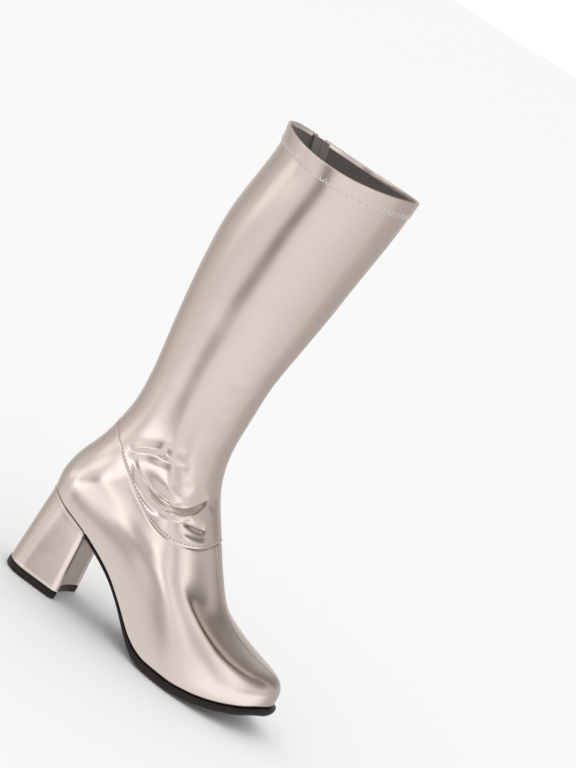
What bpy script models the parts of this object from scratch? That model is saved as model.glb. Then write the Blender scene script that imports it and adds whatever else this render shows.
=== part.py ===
"""A right go go boot: knee-high metallic shaft, square-round toe, flared block heel, zip on the inner side.

Metres, +Z up. +X runs to the toe and +Y to the inner (medial) side of the foot. The origin is the centre of
the heel's bottom face, and the heel and the ball of the sole stand on z = 0.
"""

import math

import bmesh
import bpy
import numpy as np
from mathutils import Matrix, Vector

# Foot
BOOT_LENGTH = 0.242
BALL_WIDTH = 0.086
WAIST_WIDTH = 0.054
SEAT_WIDTH = 0.060
HEEL_HEIGHT = 0.075
TOE_SPRING = 0.018
TOE_HEIGHT = 0.023
FEATHER_RADIUS = 0.0015
LASTING_MARGIN = 0.007

# Leg, with heights above the back of the heel seat
ANKLE_HEIGHT = 0.125
ANKLE_SETBACK = 0.017
ANKLE_DEPTH = 0.088
ANKLE_WIDTH = 0.072
SHAFT_HEIGHT = 0.343
COLLAR_SETBACK = 0.006
COLLAR_DEPTH = 0.1185
COLLAR_WIDTH = 0.106
COLLAR_DIP = 0.008
INNER_DIP_SHARE = 0.4
HEM_HEIGHT = 0.014
HEM_STEP = 0.0005

# Walls and clearance
WALL = 0.0016
GAP = 0.0003

# Sole and insole
FOREPART_THICKNESS = 0.0065
SHANK_THICKNESS = 0.0025
SOLE_RIM = 0.0032
INSOLE_THICKNESS = 0.0025
INSOLE_INSET = 0.0032

# Heel
SEAT_LENGTH = 0.048
HEEL_BASE_LENGTH = 0.053
HEEL_BASE_WIDTH = 0.057
HEEL_BASE_SETBACK = 0.0
BREAST_HOLLOW = 0.005
HEEL_CORNER = 0.004
BASE_ROUND = 0.45
BASE_OPENING = 0.04
LIFT_THICKNESS = 0.006
LIFT_LIP = 0.0006

# Zip
ZIP_SLOT = 0.009
ZIP_END_TAPER = 0.72
ZIP_FOOT = 0.010
TAPE_OVERLAP = 0.004
TAPE_THICKNESS = 0.0008
TAPE_TAIL = 0.0042
TAPE_TOP = 0.0015
CHAIN_WIDTH = 0.005
CHAIN_THICKNESS = 0.0013
CHAIN_INSET = 0.0012
SLIDER_DROP = 0.0085
SLIDER_LENGTH = 0.0095
SLIDER_WIDTH = 0.0074
SLIDER_RISE = 0.0012
SLIDER_ROUNDING = 0.0007
BRIDGE_LENGTH = 0.0064
BRIDGE_WIDTH = 0.0024
BRIDGE_WALL = 0.0009
BAR_SIZE = 0.0013
BAR_PLAY = 0.0006
PULL_LENGTH = 0.024
PULL_WIDTH = 0.0074
PULL_ROUNDING = 0.0004
EYE_LENGTH = 0.0040
EYE_PLAY = 0.0007

# Mesh density
OUTER_COLUMNS = 22
FRONT_COLUMNS = 11
BACK_COLUMNS = 7
RINGS_PER_FOOT_ROW = 2
RINGS_PER_LEG_ROW = 2
TAPE_ROWS = 30
RING_SPACE = 0.001
STATION_SPACE = 0.002

# Girth lines of the foot, from the feather edge up to the ankle. Each row is one ring round the boot.
# back_rise: share of ANKLE_HEIGHT at the heel's back. back_in: share of ANKLE_SETBACK.
# front_out: share of the way from the ankle's front to the toe. toe_rise: share of TOE_HEIGHT.
# instep_rise: share of the climb from the toe's top to the ankle. sag: how much it follows the sole's arch.
# leg: 0 for the shape of the foot, 1 for the shape of the leg. seat, waist: half widths, as shares of
# SEAT_WIDTH and WAIST_WIDTH. ball, toe: half widths, as shares of BALL_WIDTH.
FOOT_COLUMNS = (
    "back_rise", "back_in", "front_out", "toe_rise", "instep_rise", "sag", "leg", "seat", "waist", "ball", "toe",
)
FOOT_ROWS = (
    (0.000, 0.09, 1.000, 0.00, 0.000, 1.00, 0.00, 0.490, 0.485, 0.495, 0.360),
    (0.040, 0.04, 0.998, 0.35, 0.000, 1.00, 0.00, 0.507, 0.525, 0.503, 0.375),
    (0.080, 0.01, 0.981, 0.66, 0.000, 0.90, 0.00, 0.522, 0.557, 0.505, 0.380),
    (0.116, 0.00, 0.942, 0.89, 0.000, 0.72, 0.01, 0.530, 0.577, 0.500, 0.370),
    (0.156, 0.03, 0.869, 1.00, 0.001, 0.50, 0.02, 0.533, 0.588, 0.485, 0.350),
    (0.200, 0.08, 0.752, 1.00, 0.020, 0.26, 0.06, 0.530, 0.590, 0.465, 0.320),
    (0.252, 0.17, 0.620, 1.00, 0.056, 0.08, 0.14, 0.520, 0.580, 0.445, 0.300),
    (0.312, 0.32, 0.496, 1.00, 0.121, 0.02, 0.25, 0.500, 0.565, 0.430, 0.285),
    (0.376, 0.52, 0.400, 1.00, 0.213, 0.00, 0.38, 0.490, 0.550, 0.420, 0.280),
    (0.456, 0.74, 0.310, 1.00, 0.318, 0.00, 0.52, 0.480, 0.550, 0.420, 0.280),
    (0.552, 0.92, 0.219, 1.00, 0.430, 0.00, 0.66, 0.480, 0.550, 0.420, 0.280),
    (0.656, 1.06, 0.124, 1.00, 0.548, 0.00, 0.79, 0.480, 0.550, 0.420, 0.280),
    (0.768, 1.12, 0.047, 1.00, 0.685, 0.00, 0.90, 0.480, 0.550, 0.420, 0.280),
    (0.884, 1.08, 0.006, 1.00, 0.843, 0.00, 0.97, 0.480, 0.550, 0.420, 0.280),
    (1.000, 1.00, 0.000, 1.00, 1.000, 0.00, 1.00, 0.480, 0.550, 0.420, 0.280),
)

# Girth lines of the leg. back, front and width: shares of the change from the ankle to the collar. dip: how
# far the ring's sides hang below its ends, as a share of COLLAR_DIP.
LEG_COLUMNS = ("rise", "back", "front", "width", "dip")
LEG_ROWS = (
    (0.163, 0.500, 0.010, 0.09, 0.00),
    (0.326, 0.955, 0.230, 0.29, 0.00),
    (0.488, 1.270, 0.460, 0.53, 0.02),
    (0.651, 1.290, 0.667, 0.74, 0.12),
    (0.814, 0.945, 0.870, 0.88, 0.40),
    (0.930, 0.780, 0.970, 0.95, 0.78),
    (1.000, 1.000, 1.000, 1.00, 1.00),
)

# Underside of the foot's bed from the heel's back to the ball: share of the boot's length, share of the
# seat's height at the back.
ARCH_LINE = (
    (0.0, 1.0), (0.099, 0.905), (0.198, 0.790), (0.264, 0.690), (0.339, 0.551), (0.403, 0.395),
    (0.464, 0.226), (0.504, 0.122), (0.545, 0.045), (0.574, 0.013), (0.60, 0.0),
)
# The same line past the flat of the ball: share of the boot's length, share of TOE_SPRING.
SPRING_LINE = ((0.69, 0.0), (0.77, 0.10), (0.85, 0.32), (0.93, 0.65), (1.0, 1.0))
# Sole thickness: share of the boot's length, share of the way from shank to forepart.
THICKNESS_LINE = ((0.38, 0.0), (0.46, 0.30), (0.54, 0.82), (0.60, 1.0))
# How far the foot's middle lies to the inner side: share of the boot's length, share of BALL_WIDTH.
SWING_LINE = ((0.0, 0.0), (0.15, 0.0), (0.42, -0.028), (0.62, -0.028), (0.80, 0.0), (1.0, 0.040))
# How far the sole stands out past the upper: share of the boot's length, share of SOLE_RIM.
RIM_LINE = ((0.40, 0.0), (0.48, 0.10), (0.58, 0.80), (0.66, 1.0))
# The sole's edge from below: share of SOLE_RIM that it steps in, share of its thickness.
SOLE_EDGE = ((-0.75, 0.0), (-0.22, 0.14), (0.0, 0.36), (0.0, 0.70), (-0.14, 0.88), (-0.45, 1.0))
# The top lift's edge from below: share of LIFT_LIP, share of LIFT_THICKNESS.
LIFT_EDGE = ((0.0, 0.0), (1.0, 0.17), (1.0, 0.92), (0.0, 1.0))
# The middle of the zip: share of SHAFT_HEIGHT, share of the way from the ring's back to its front.
ZIP_LINE = (
    (0.026, 0.312), (0.093, 0.375), (0.168, 0.420), (0.250, 0.476), (0.370, 0.512), (0.470, 0.480),
    (0.570, 0.420), (0.680, 0.360), (0.780, 0.290), (0.880, 0.205), (1.000, 0.140),
)

SEAT_ROUND = 0.12
TOE_ROUND = 0.80
FOOT_SQUARENESS = 2.35
LEG_SQUARENESS = 2.05
WIDTH_STATIONS = (0.0, 0.15, 0.42, 0.68, 1.0)

HEEL_CENTRE = HEEL_BASE_SETBACK + HEEL_BASE_LENGTH / 2


def smooth_line(points):
    """A natural cubic spline through (place, value) points, straight past its ends."""
    place, value = np.array(points, float).T
    gap = np.diff(place)
    rise = np.diff(value) / gap
    matrix = np.eye(len(place))
    right = np.zeros(len(place))
    for i in range(1, len(place) - 1):
        matrix[i, i - 1 : i + 2] = gap[i - 1], 2 * (gap[i - 1] + gap[i]), gap[i]
        right[i] = 6 * (rise[i] - rise[i - 1])
    bend = np.linalg.solve(matrix, right)

    def line(at):
        at = np.asarray(at, float)
        held = np.clip(at, place[0], place[-1])
        i = np.clip(np.searchsorted(place, held) - 1, 0, len(gap) - 1)
        a, b = held - place[i], place[i + 1] - held
        inside = (
            (bend[i] * b**3 + bend[i + 1] * a**3) / (6 * gap[i])
            + (value[i] / gap[i] - bend[i] * gap[i] / 6) * b
            + (value[i + 1] / gap[i] - bend[i + 1] * gap[i] / 6) * a
        )
        first = rise[0] - gap[0] * bend[1] / 6
        last = rise[-1] + gap[-1] * bend[-2] / 6
        return inside + np.where(at < place[0], first, last) * (at - held)

    return line


def steady_line(points):
    """A cubic line through (place, value) points that never overshoots them, level past its ends."""
    place, value = np.array(points, float).T
    gap = np.diff(place)
    rise = np.diff(value) / gap
    slope = np.zeros(len(place))
    for i in range(1, len(place) - 1):
        if rise[i - 1] * rise[i] > 0:
            before, after = gap[i - 1] + 2 * gap[i], 2 * gap[i - 1] + gap[i]
            slope[i] = (before + after) / (before / rise[i - 1] + after / rise[i])

    def line(at):
        at = np.clip(np.asarray(at, float), place[0], place[-1])
        i = np.clip(np.searchsorted(place, at) - 1, 0, len(gap) - 1)
        t = (at - place[i]) / gap[i]
        return (
            value[i] * (1 + 2 * t) * (1 - t) ** 2
            + slope[i] * gap[i] * t * (1 - t) ** 2
            + value[i + 1] * t * t * (3 - 2 * t)
            - slope[i + 1] * gap[i] * t * t * (1 - t)
        )

    return line


arch_line = steady_line(ARCH_LINE)
spring_line = steady_line(SPRING_LINE)
thickness_line = steady_line(THICKNESS_LINE)
rim_line = steady_line(RIM_LINE)
swing_line = smooth_line(SWING_LINE)
zip_line = smooth_line(ZIP_LINE)


def sole_thickness(x):
    return SHANK_THICKNESS + (FOREPART_THICKNESS - SHANK_THICKNESS) * thickness_line(x / BOOT_LENGTH)


def sole_bottom(x):
    """Height of the sole's underside at x metres from the heel's back."""
    along = np.asarray(x, float) / BOOT_LENGTH
    last_step = SPRING_LINE[-1][0] - SPRING_LINE[-2][0]
    last_rise = SPRING_LINE[-1][1] - SPRING_LINE[-2][1]
    toe = spring_line(along) + np.maximum(along - 1, 0) * last_rise / last_step
    return (HEEL_HEIGHT - SHANK_THICKNESS) * arch_line(along) + TOE_SPRING * toe


def feather(x):
    """Height of the line where the upper meets the sole."""
    return sole_bottom(x) + sole_thickness(x)


def upright(x, thickness):
    """The height that a layer of this thickness takes up where the foot's bed slopes."""
    step = 0.001
    slope = (feather(x + step) - feather(x - step)) / (2 * step)
    return thickness * np.sqrt(1 + slope**2)


def girth_lines():
    """Each size of the upper's rings as a line over the ring's height at the heel's back."""
    ankle_front = ANKLE_SETBACK + ANKLE_DEPTH
    ankle_level = HEEL_HEIGHT + ANKLE_HEIGHT
    toe_top = float(feather(BOOT_LENGTH)) + TOE_HEIGHT
    sizes = []
    for values in FOOT_ROWS:
        row = dict(zip(FOOT_COLUMNS, values))
        leg = row["leg"]
        sizes.append({
            "height": row["back_rise"] * ANKLE_HEIGHT,
            "back_x": row["back_in"] * ANKLE_SETBACK,
            "front_x": ankle_front + row["front_out"] * (BOOT_LENGTH - ankle_front),
            "front_z": toe_top - (1 - row["toe_rise"]) * TOE_HEIGHT
            + row["instep_rise"] * (ankle_level - toe_top),
            "sag": row["sag"],
            "leg": leg,
            "dip": 0.0,
            "seat": (1 - leg) * row["seat"] * SEAT_WIDTH + leg * ANKLE_WIDTH / 2,
            "waist": (1 - leg) * row["waist"] * WAIST_WIDTH + leg * ANKLE_WIDTH / 2,
            "ball": (1 - leg) * row["ball"] * BALL_WIDTH + leg * ANKLE_WIDTH / 2,
            "toe": (1 - leg) * row["toe"] * BALL_WIDTH + leg * ANKLE_WIDTH / 2,
        })
    for values in LEG_ROWS:
        row = dict(zip(LEG_COLUMNS, values))
        height = ANKLE_HEIGHT + row["rise"] * (SHAFT_HEIGHT - ANKLE_HEIGHT)
        collar_front = COLLAR_SETBACK + COLLAR_DEPTH
        half = (ANKLE_WIDTH + row["width"] * (COLLAR_WIDTH - ANKLE_WIDTH)) / 2
        sizes.append({
            "height": height,
            "back_x": ANKLE_SETBACK + row["back"] * (COLLAR_SETBACK - ANKLE_SETBACK),
            "front_x": ankle_front + row["front"] * (collar_front - ankle_front),
            "front_z": HEEL_HEIGHT + height,
            "sag": 0.0,
            "leg": 1.0,
            "dip": row["dip"] * COLLAR_DIP,
            "seat": half,
            "waist": half,
            "ball": half,
            "toe": half,
        })
    heights = [size["height"] for size in sizes]
    names = [name for name in sizes[0] if name != "height"]
    lines = {name: smooth_line([(s["height"], s[name]) for s in sizes]) for name in names}
    return heights, lines


ROW_HEIGHTS, GIRTH = girth_lines()


def round_ends(share, leg):
    """1 along the middle of a ring, falling to 0 in a round end at its back and its front."""
    back_end = SEAT_ROUND + leg * (0.5 - SEAT_ROUND)
    front_start = TOE_ROUND + leg * (0.5 - TOE_ROUND)
    power = FOOT_SQUARENESS + leg * (LEG_SQUARENESS - FOOT_SQUARENESS)
    behind = np.clip(1 - share / back_end, 0, 1)
    ahead = np.clip((share - front_start) / (1 - front_start), 0, 1)
    return (1 - behind**power) ** (1 / power) * (1 - ahead**power) ** (1 / power)


def upper_ring(height, turns):
    """Points of the upper's outer face on the ring that is this high at the heel's back.

    A turn runs from 0 at the front to 1 at the back round the inner side, and to -1 round the outer side.
    """
    turns = np.asarray(turns, float)
    size = {name: float(line(height)) for name, line in GIRTH.items()}
    leg = min(max(size["leg"], 0.0), 1.0)
    share = 0.5 * (1 + np.cos(np.pi * turns))
    x = size["back_x"] + share * (size["front_x"] - size["back_x"])
    z = HEEL_HEIGHT + height + share * (size["front_z"] - HEEL_HEIGHT - height)
    straight = feather(size["back_x"]) * (1 - share) + feather(size["front_x"]) * share
    z = z + size["sag"] * (feather(x) - straight)
    z = z - size["dip"] * np.sin(np.pi * turns) ** 2 * np.where(turns > 0, INNER_DIP_SHARE, 1.0)
    halves = smooth_line(list(zip(WIDTH_STATIONS, [size[n] for n in ("seat", "seat", "waist", "ball", "toe")])))
    y = np.sign(np.sin(np.pi * turns)) * halves(share) * round_ends(share, leg)
    y = y + (1 - leg) * BALL_WIDTH * swing_line(x / BOOT_LENGTH)
    return np.stack([x - HEEL_CENTRE, y, z], axis=-1)


def upper_normals(height, turns, step=1e-3):
    """Outward unit normals of the upper at these turns."""
    turns = np.asarray(turns, float)
    round_it = upper_ring(height, turns + step) - upper_ring(height, turns - step)
    low, high = max(height - step / 4, 0.0), min(height + step / 4, SHAFT_HEIGHT)
    up_it = upper_ring(high, turns) - upper_ring(low, turns)
    normals = np.cross(round_it, up_it)
    return normals / np.linalg.norm(normals, axis=-1, keepdims=True)


def turn_at(share):
    """The turn on the inner side that is this share of the way from a ring's back to its front."""
    return math.acos(2 * share - 1) / math.pi


def zip_turn(height, across=0.0):
    """The turn of a point that lies across metres in front of the zip's middle."""
    middle = turn_at(float(zip_line(height / SHAFT_HEIGHT)))
    step = 0.01
    ends = upper_ring(height, [middle - step, middle + step])
    metres_per_turn = float(np.linalg.norm(ends[0] - ends[1])) / (2 * step)
    return middle - across / metres_per_turn


def slot_half(height):
    """Half the zip slot's width, which narrows towards its foot."""
    climb = min(max((height - ZIP_FOOT) / (2 * ZIP_FOOT), 0.0), 1.0)
    return ZIP_SLOT / 2 * (ZIP_END_TAPER + (1 - ZIP_END_TAPER) * climb)


def ring_turns(height):
    """The turns of one ring's columns, with the zip slot between two of them."""
    slot = slot_half(height)
    flange = slot + TAPE_OVERLAP + GAP
    across = (flange, slot, 0.0, -slot)
    outer = np.linspace(-1, 0, OUTER_COLUMNS + 1)[:-1]
    front = np.linspace(0, zip_turn(height, flange), FRONT_COLUMNS + 1)[:-1]
    back = np.linspace(zip_turn(height, -flange), 1, BACK_COLUMNS + 1)[:-1]
    return np.concatenate([outer, front, [zip_turn(height, reach) for reach in across], back])


def new_material(name, colour, roughness, metallic):
    material = bpy.data.materials.new(name)
    material.use_nodes = True
    shader = material.node_tree.nodes["Principled BSDF"]
    shader.inputs["Base Color"].default_value = (*colour, 1.0)
    shader.inputs["Roughness"].default_value = roughness
    shader.inputs["Metallic"].default_value = metallic
    return material


def new_object(name, mesh, collection, material):
    obj = bpy.data.objects.new(name, mesh)
    collection.objects.link(obj)
    mesh.materials.append(material)
    return obj


def ladder(shape, loop, flip):
    """Closes a loop that runs from its back along one side to its front and back along the other."""
    near = loop[: 1 + max(range(len(loop)), key=lambda i: loop[i].co.x)]
    far = [loop[0]] + loop[: len(near) - 2 : -1]
    i = j = 0
    while i < len(near) - 1 or j < len(far) - 1:
        at_end = j == len(far) - 1
        if at_end or (i < len(near) - 1 and near[i + 1].co.x <= far[j + 1].co.x):
            corners = [near[i], near[i + 1], far[j]]
            i += 1
        else:
            corners = [near[i], far[j + 1], far[j]]
            j += 1
        if len(set(corners)) == 3:
            shape.faces.new(corners[::-1] if flip else corners)


def flat_cap(shape, loop, flip):
    """Closes a flat loop, which may be hollow in places."""
    face = shape.faces.new(loop[::-1] if flip else loop)
    bmesh.ops.triangulate(shape, faces=[face], ngon_method="EAR_CLIP")


def loft(name, loops, closed=True, caps=(), skip=()):
    """A mesh of quads between loops of points.

    caps: what closes the first loop and the last. skip: (ring, column) pairs that are left out.
    """
    shape = bmesh.new()
    rows = [[shape.verts.new(point) for point in loop] for loop in loops]
    count = len(rows[0])
    for i in range(len(rows) - 1):
        for j in range(count if closed else count - 1):
            if (i, j) in skip:
                continue
            k = (j + 1) % count
            shape.faces.new((rows[i][j], rows[i][k], rows[i + 1][k], rows[i + 1][j]))
    for cap, row, flip in zip(caps, (rows[0], rows[-1]), (True, False)):
        cap(shape, row, flip)
    mesh = bpy.data.meshes.new(name)
    shape.to_mesh(mesh)
    shape.free()
    return mesh


def face_out(mesh):
    """Turns a closed mesh's faces outwards."""
    shape = bmesh.new()
    shape.from_mesh(mesh)
    bmesh.ops.recalc_face_normals(shape, faces=shape.faces)
    shape.to_mesh(mesh)
    shape.free()


def spread(loop, distance):
    """A closed loop moved outwards in plan by a distance, or by one for each point."""
    loop = np.asarray(loop, float)
    along = np.roll(loop, -1, axis=0) - np.roll(loop, 1, axis=0)
    outward = np.stack([along[:, 1], -along[:, 0]], axis=1)
    outward /= np.linalg.norm(outward, axis=1, keepdims=True)
    area = np.sum(loop[:, 0] * np.roll(loop[:, 1], -1) - np.roll(loop[:, 0], -1) * loop[:, 1])
    moved = loop.copy()
    moved[:, :2] += outward * np.sign(area) * np.broadcast_to(distance, len(loop))[:, None]
    return moved


def thicken(obj, thickness):
    """Gives an open surface its wall, on its inner side."""
    wall = obj.modifiers.new("wall", "SOLIDIFY")
    wall.thickness = thickness
    wall.offset = -1.0


def make_upper(collection, material):
    """The whole upper in one wall: lasting margin, foot, leg and hem, with the zip's slot open to the collar."""
    heights = []
    for low, high in zip(ROW_HEIGHTS, ROW_HEIGHTS[1:]):
        steps = RINGS_PER_FOOT_ROW if high <= ANKLE_HEIGHT else RINGS_PER_LEG_ROW
        heights += [low + (high - low) * step / steps for step in range(steps)]
    hem_foot = SHAFT_HEIGHT - HEM_HEIGHT
    edge = HEM_STEP / 2
    heights = [h for h in heights if abs(h - hem_foot) > HEM_HEIGHT / 3 and abs(h - ZIP_FOOT) > RING_SPACE]
    heights = sorted(heights + [ZIP_FOOT, hem_foot - edge, hem_foot + edge, SHAFT_HEIGHT])
    heights[0] = FEATHER_RADIUS
    rings = []
    for height in heights:
        turns = ring_turns(height)
        ring = upper_ring(height, turns)
        if height > hem_foot:
            ring = ring + HEM_STEP * upper_normals(height, turns)
        rings.append(ring)
    turns = ring_turns(0.0)
    base = upper_ring(0.0, turns)
    lower = []
    for inset in (LASTING_MARGIN, FEATHER_RADIUS):
        loop = spread(base, -inset)
        loop[:, 2] = feather(loop[:, 0] + HEEL_CENTRE)
        lower.append(loop)
    rings = lower + rings
    first = len(lower) + heights.index(ZIP_FOOT)
    slot_column = OUTER_COLUMNS + FRONT_COLUMNS + 1
    skip = {(ring, slot_column + side) for ring in range(first, len(rings) - 1) for side in (0, 1)}
    mesh = loft("upper", rings, skip=skip)
    shape = bmesh.new()
    shape.from_mesh(mesh)
    loose = [v for v in shape.verts if not v.link_faces]
    bmesh.ops.delete(shape, geom=loose, context="VERTS")
    shape.to_mesh(mesh)
    shape.free()
    upper = new_object("upper", mesh, collection, material)
    thicken(upper, WALL)
    return upper


def feather_outline(start):
    """The upper's lowest ring ahead of start: outer side to the toe, then the inner side back.

    It has a station at each end of the ball's flat spot.
    """
    ring = upper_ring(0.0, ring_turns(0.0))
    toe = OUTER_COLUMNS
    outer, inner = ring[: toe + 1], np.concatenate([ring[toe:], ring[:1]])[::-1]
    flat = BOOT_LENGTH * np.array([ARCH_LINE[-1][0], SPRING_LINE[0][0]])
    sides = []
    for side in (outer, inner):
        place = side[:, 0] + HEEL_CENTRE
        spare = np.min(np.abs(place[:, None] - flat), axis=1) < STATION_SPACE
        stations = np.sort(np.concatenate([[start], flat, place[(place > start + STATION_SPACE) & ~spare]]))
        sides.append(np.stack([np.interp(stations, place, side[:, axis]) for axis in range(3)], axis=-1))
    return np.concatenate([sides[0], sides[1][-2::-1]])


def make_sole(collection, material):
    """The outsole, from the heel's breast to the toe, with a rim round its forepart."""
    outline = feather_outline(SEAT_LENGTH + GAP)
    along = outline[:, 0] + HEEL_CENTRE
    rim = SOLE_RIM * rim_line(along / BOOT_LENGTH)
    thinness = sole_thickness(along) / FOREPART_THICKNESS
    loops = []
    for step, rise in SOLE_EDGE:
        loop = spread(outline, rim + step * SOLE_RIM * thinness)
        loop[[0, -1], 0] = outline[0, 0]
        x = loop[:, 0] + HEEL_CENTRE
        loop[:, 2] = sole_bottom(x) + rise * (sole_thickness(x) - GAP)
        loops.append(loop)
    mesh = loft("outsole", loops, caps=(ladder, ladder))
    face_out(mesh)
    return new_object("outsole", mesh, collection, material)


def make_insole(collection, material):
    """The insole board and sock, on top of the lasting margin."""
    ring = upper_ring(0.0, ring_turns(0.0))
    outline = spread(ring, -INSOLE_INSET)
    loops = []
    for rise in (WALL + 1.5 * GAP, WALL + 1.5 * GAP + INSOLE_THICKNESS):
        loop = outline.copy()
        x = loop[:, 0] + HEEL_CENTRE
        loop[:, 2] = feather(x) + upright(x, rise)
        loops.append(loop)
    mesh = loft("insole", loops, caps=(ladder, ladder))
    face_out(mesh)
    return new_object("insole", mesh, collection, material)


def heel_plan(back_x, front_x, half_width_at, hollow):
    """A heel outline: round back, straight flanks, round front corners and a hollow breast."""
    reach = 1 - np.cos(np.linspace(0, 1, 13) * math.pi / 2)
    side = [(x, half_width_at(x)) for x in back_x + (front_x - HEEL_CORNER - back_x) * reach]
    corner_half = side[-1][1]
    for angle in (math.pi / 6, math.pi / 3, math.pi / 2):
        side.append((
            front_x - HEEL_CORNER * (1 - math.sin(angle)),
            corner_half - HEEL_CORNER * (1 - math.cos(angle)),
        ))
    breast_half = side[-1][1]
    for share in (0.75, 0.5, 0.25, 0.0):
        side.append((front_x - hollow * (1 - share**2), breast_half * share))
    outer = [(x, -y, 0.0) for x, y in side]
    inner = [(x, y, 0.0) for x, y in side[-2:0:-1]]
    return np.array(outer + inner)


def seat_half_width(x):
    back_x, front_x = float(GIRTH["back_x"](0.0)), float(GIRTH["front_x"](0.0))
    share = min(max((x - back_x) / (front_x - back_x), 0.0), 1.0)
    inner, outer = upper_ring(0.0, [turn_at(share), -turn_at(share)])
    return float(inner[1] - outer[1]) / 2


def base_half_width(x):
    """The heel's base: a squarish round back and flanks that open a little to the front."""
    round_length = BASE_ROUND * HEEL_BASE_LENGTH
    behind = min(max(1 - (x - HEEL_BASE_SETBACK) / round_length, 0.0), 1.0)
    opening = 1 - BASE_OPENING * (1 - (x - HEEL_BASE_SETBACK) / HEEL_BASE_LENGTH)
    return HEEL_BASE_WIDTH / 2 * opening * (1 - behind**FOOT_SQUARENESS) ** (1 / FOOT_SQUARENESS)


def heel_base_loop(lip=0.0):
    front = HEEL_BASE_SETBACK + HEEL_BASE_LENGTH
    loop = heel_plan(HEEL_BASE_SETBACK, front, base_half_width, BREAST_HOLLOW)
    loop[:, 0] -= HEEL_CENTRE
    return spread(loop, lip)


def make_heel(collection, material):
    """The covered heel block, from the top lift to the seat."""
    top = heel_plan(float(GIRTH["back_x"](0.0)), SEAT_LENGTH, seat_half_width, 0.0)
    top[:, 2] = feather(top[:, 0]) - GAP
    top[:, 0] -= HEEL_CENTRE
    base = heel_base_loop()
    base[:, 2] = LIFT_THICKNESS + GAP
    loops = [base + (top - base) * share for share in (0.0, 0.25, 0.5, 0.75, 1.0)]
    mesh = loft("heel_block", loops, caps=(flat_cap, ladder))
    face_out(mesh)
    return new_object("heel_block", mesh, collection, material)


def make_lift(collection, material):
    """The rubber top lift under the heel."""
    loops = []
    for lip, rise in LIFT_EDGE:
        loop = heel_base_loop(lip * LIFT_LIP)
        loop[:, 2] = rise * LIFT_THICKNESS
        loops.append(loop)
    mesh = loft("heel_lift", loops, caps=(flat_cap, flat_cap))
    face_out(mesh)
    return new_object("heel_lift", mesh, collection, material)


def zip_strip(heights, offsets, depth):
    """Rows of points along the zip, each across it at these offsets, this deep under the upper's face."""
    rows = []
    for height in heights:
        turns = [zip_turn(height, across) for across in offsets]
        rows.append(upper_ring(height, turns) - depth * upper_normals(height, turns))
    return rows


def make_tape(collection, material, name, side):
    """One zip tape behind the slot's edge. side is 1 in front of the zip's middle and -1 behind it."""
    heights = np.linspace(ZIP_FOOT - TAPE_TAIL, SHAFT_HEIGHT - TAPE_TOP, TAPE_ROWS)
    reach = [GAP / 2, ZIP_SLOT / 4, ZIP_SLOT / 2, ZIP_SLOT / 2 + TAPE_OVERLAP]
    offsets = [side * r for r in (reach[::-1] if side > 0 else reach)]
    mesh = loft(name, zip_strip(heights, offsets, WALL + GAP), closed=False)
    tape = new_object(name, mesh, collection, material)
    thicken(tape, TAPE_THICKNESS)
    return tape


def make_chain(collection, material):
    """The closed zip chain, which lies on both tapes inside the slot."""
    top = SHAFT_HEIGHT - SLIDER_DROP - SLIDER_LENGTH / 2 - CHAIN_INSET
    heights = np.linspace(ZIP_FOOT + CHAIN_INSET, top, TAPE_ROWS)
    half = CHAIN_WIDTH / 2
    depth = WALL - CHAIN_THICKNESS
    mesh = loft("zip_chain", zip_strip(heights, (half, 0.0, -half), depth), closed=False)
    chain = new_object("zip_chain", mesh, collection, material)
    thicken(chain, CHAIN_THICKNESS)
    return chain


def slider_matrix():
    """The slider's own frame: X across the zip to the back, Y up the zip, Z out of the boot."""
    height = SHAFT_HEIGHT - SLIDER_DROP
    step = 0.002
    turn = zip_turn(height)
    place = Vector(upper_ring(height, [turn])[0])
    above = Vector(upper_ring(height + step, [zip_turn(height + step)])[0])
    below = Vector(upper_ring(height - step, [zip_turn(height - step)])[0])
    up = (above - below).normalized()
    out = Vector(upper_normals(height, [turn])[0])
    out = (out - out.dot(up) * up).normalized()
    across = up.cross(out)
    frame = Matrix((across, up, out)).transposed().to_4x4()
    frame.translation = place
    return frame


BAR_HEIGHT = SLIDER_RISE + BAR_PLAY + BAR_SIZE / 2 + GAP


def box(name, low, high, collection):
    """A box between two corners, as an object of its own."""
    shape = bmesh.new()
    bmesh.ops.create_cube(shape, size=1.0)
    size = Vector(high) - Vector(low)
    bmesh.ops.scale(shape, vec=size, verts=shape.verts)
    bmesh.ops.translate(shape, vec=Vector(low) + size / 2, verts=shape.verts)
    mesh = bpy.data.meshes.new(name)
    shape.to_mesh(mesh)
    shape.free()
    obj = bpy.data.objects.new(name, mesh)
    collection.objects.link(obj)
    return obj


def hide_helper(obj):
    obj.hide_render = True
    obj.display_type = "WIRE"


def combine(obj, other, operation):
    join = obj.modifiers.new(operation.lower(), "BOOLEAN")
    join.operation = operation
    join.object = other
    hide_helper(other)


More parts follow.
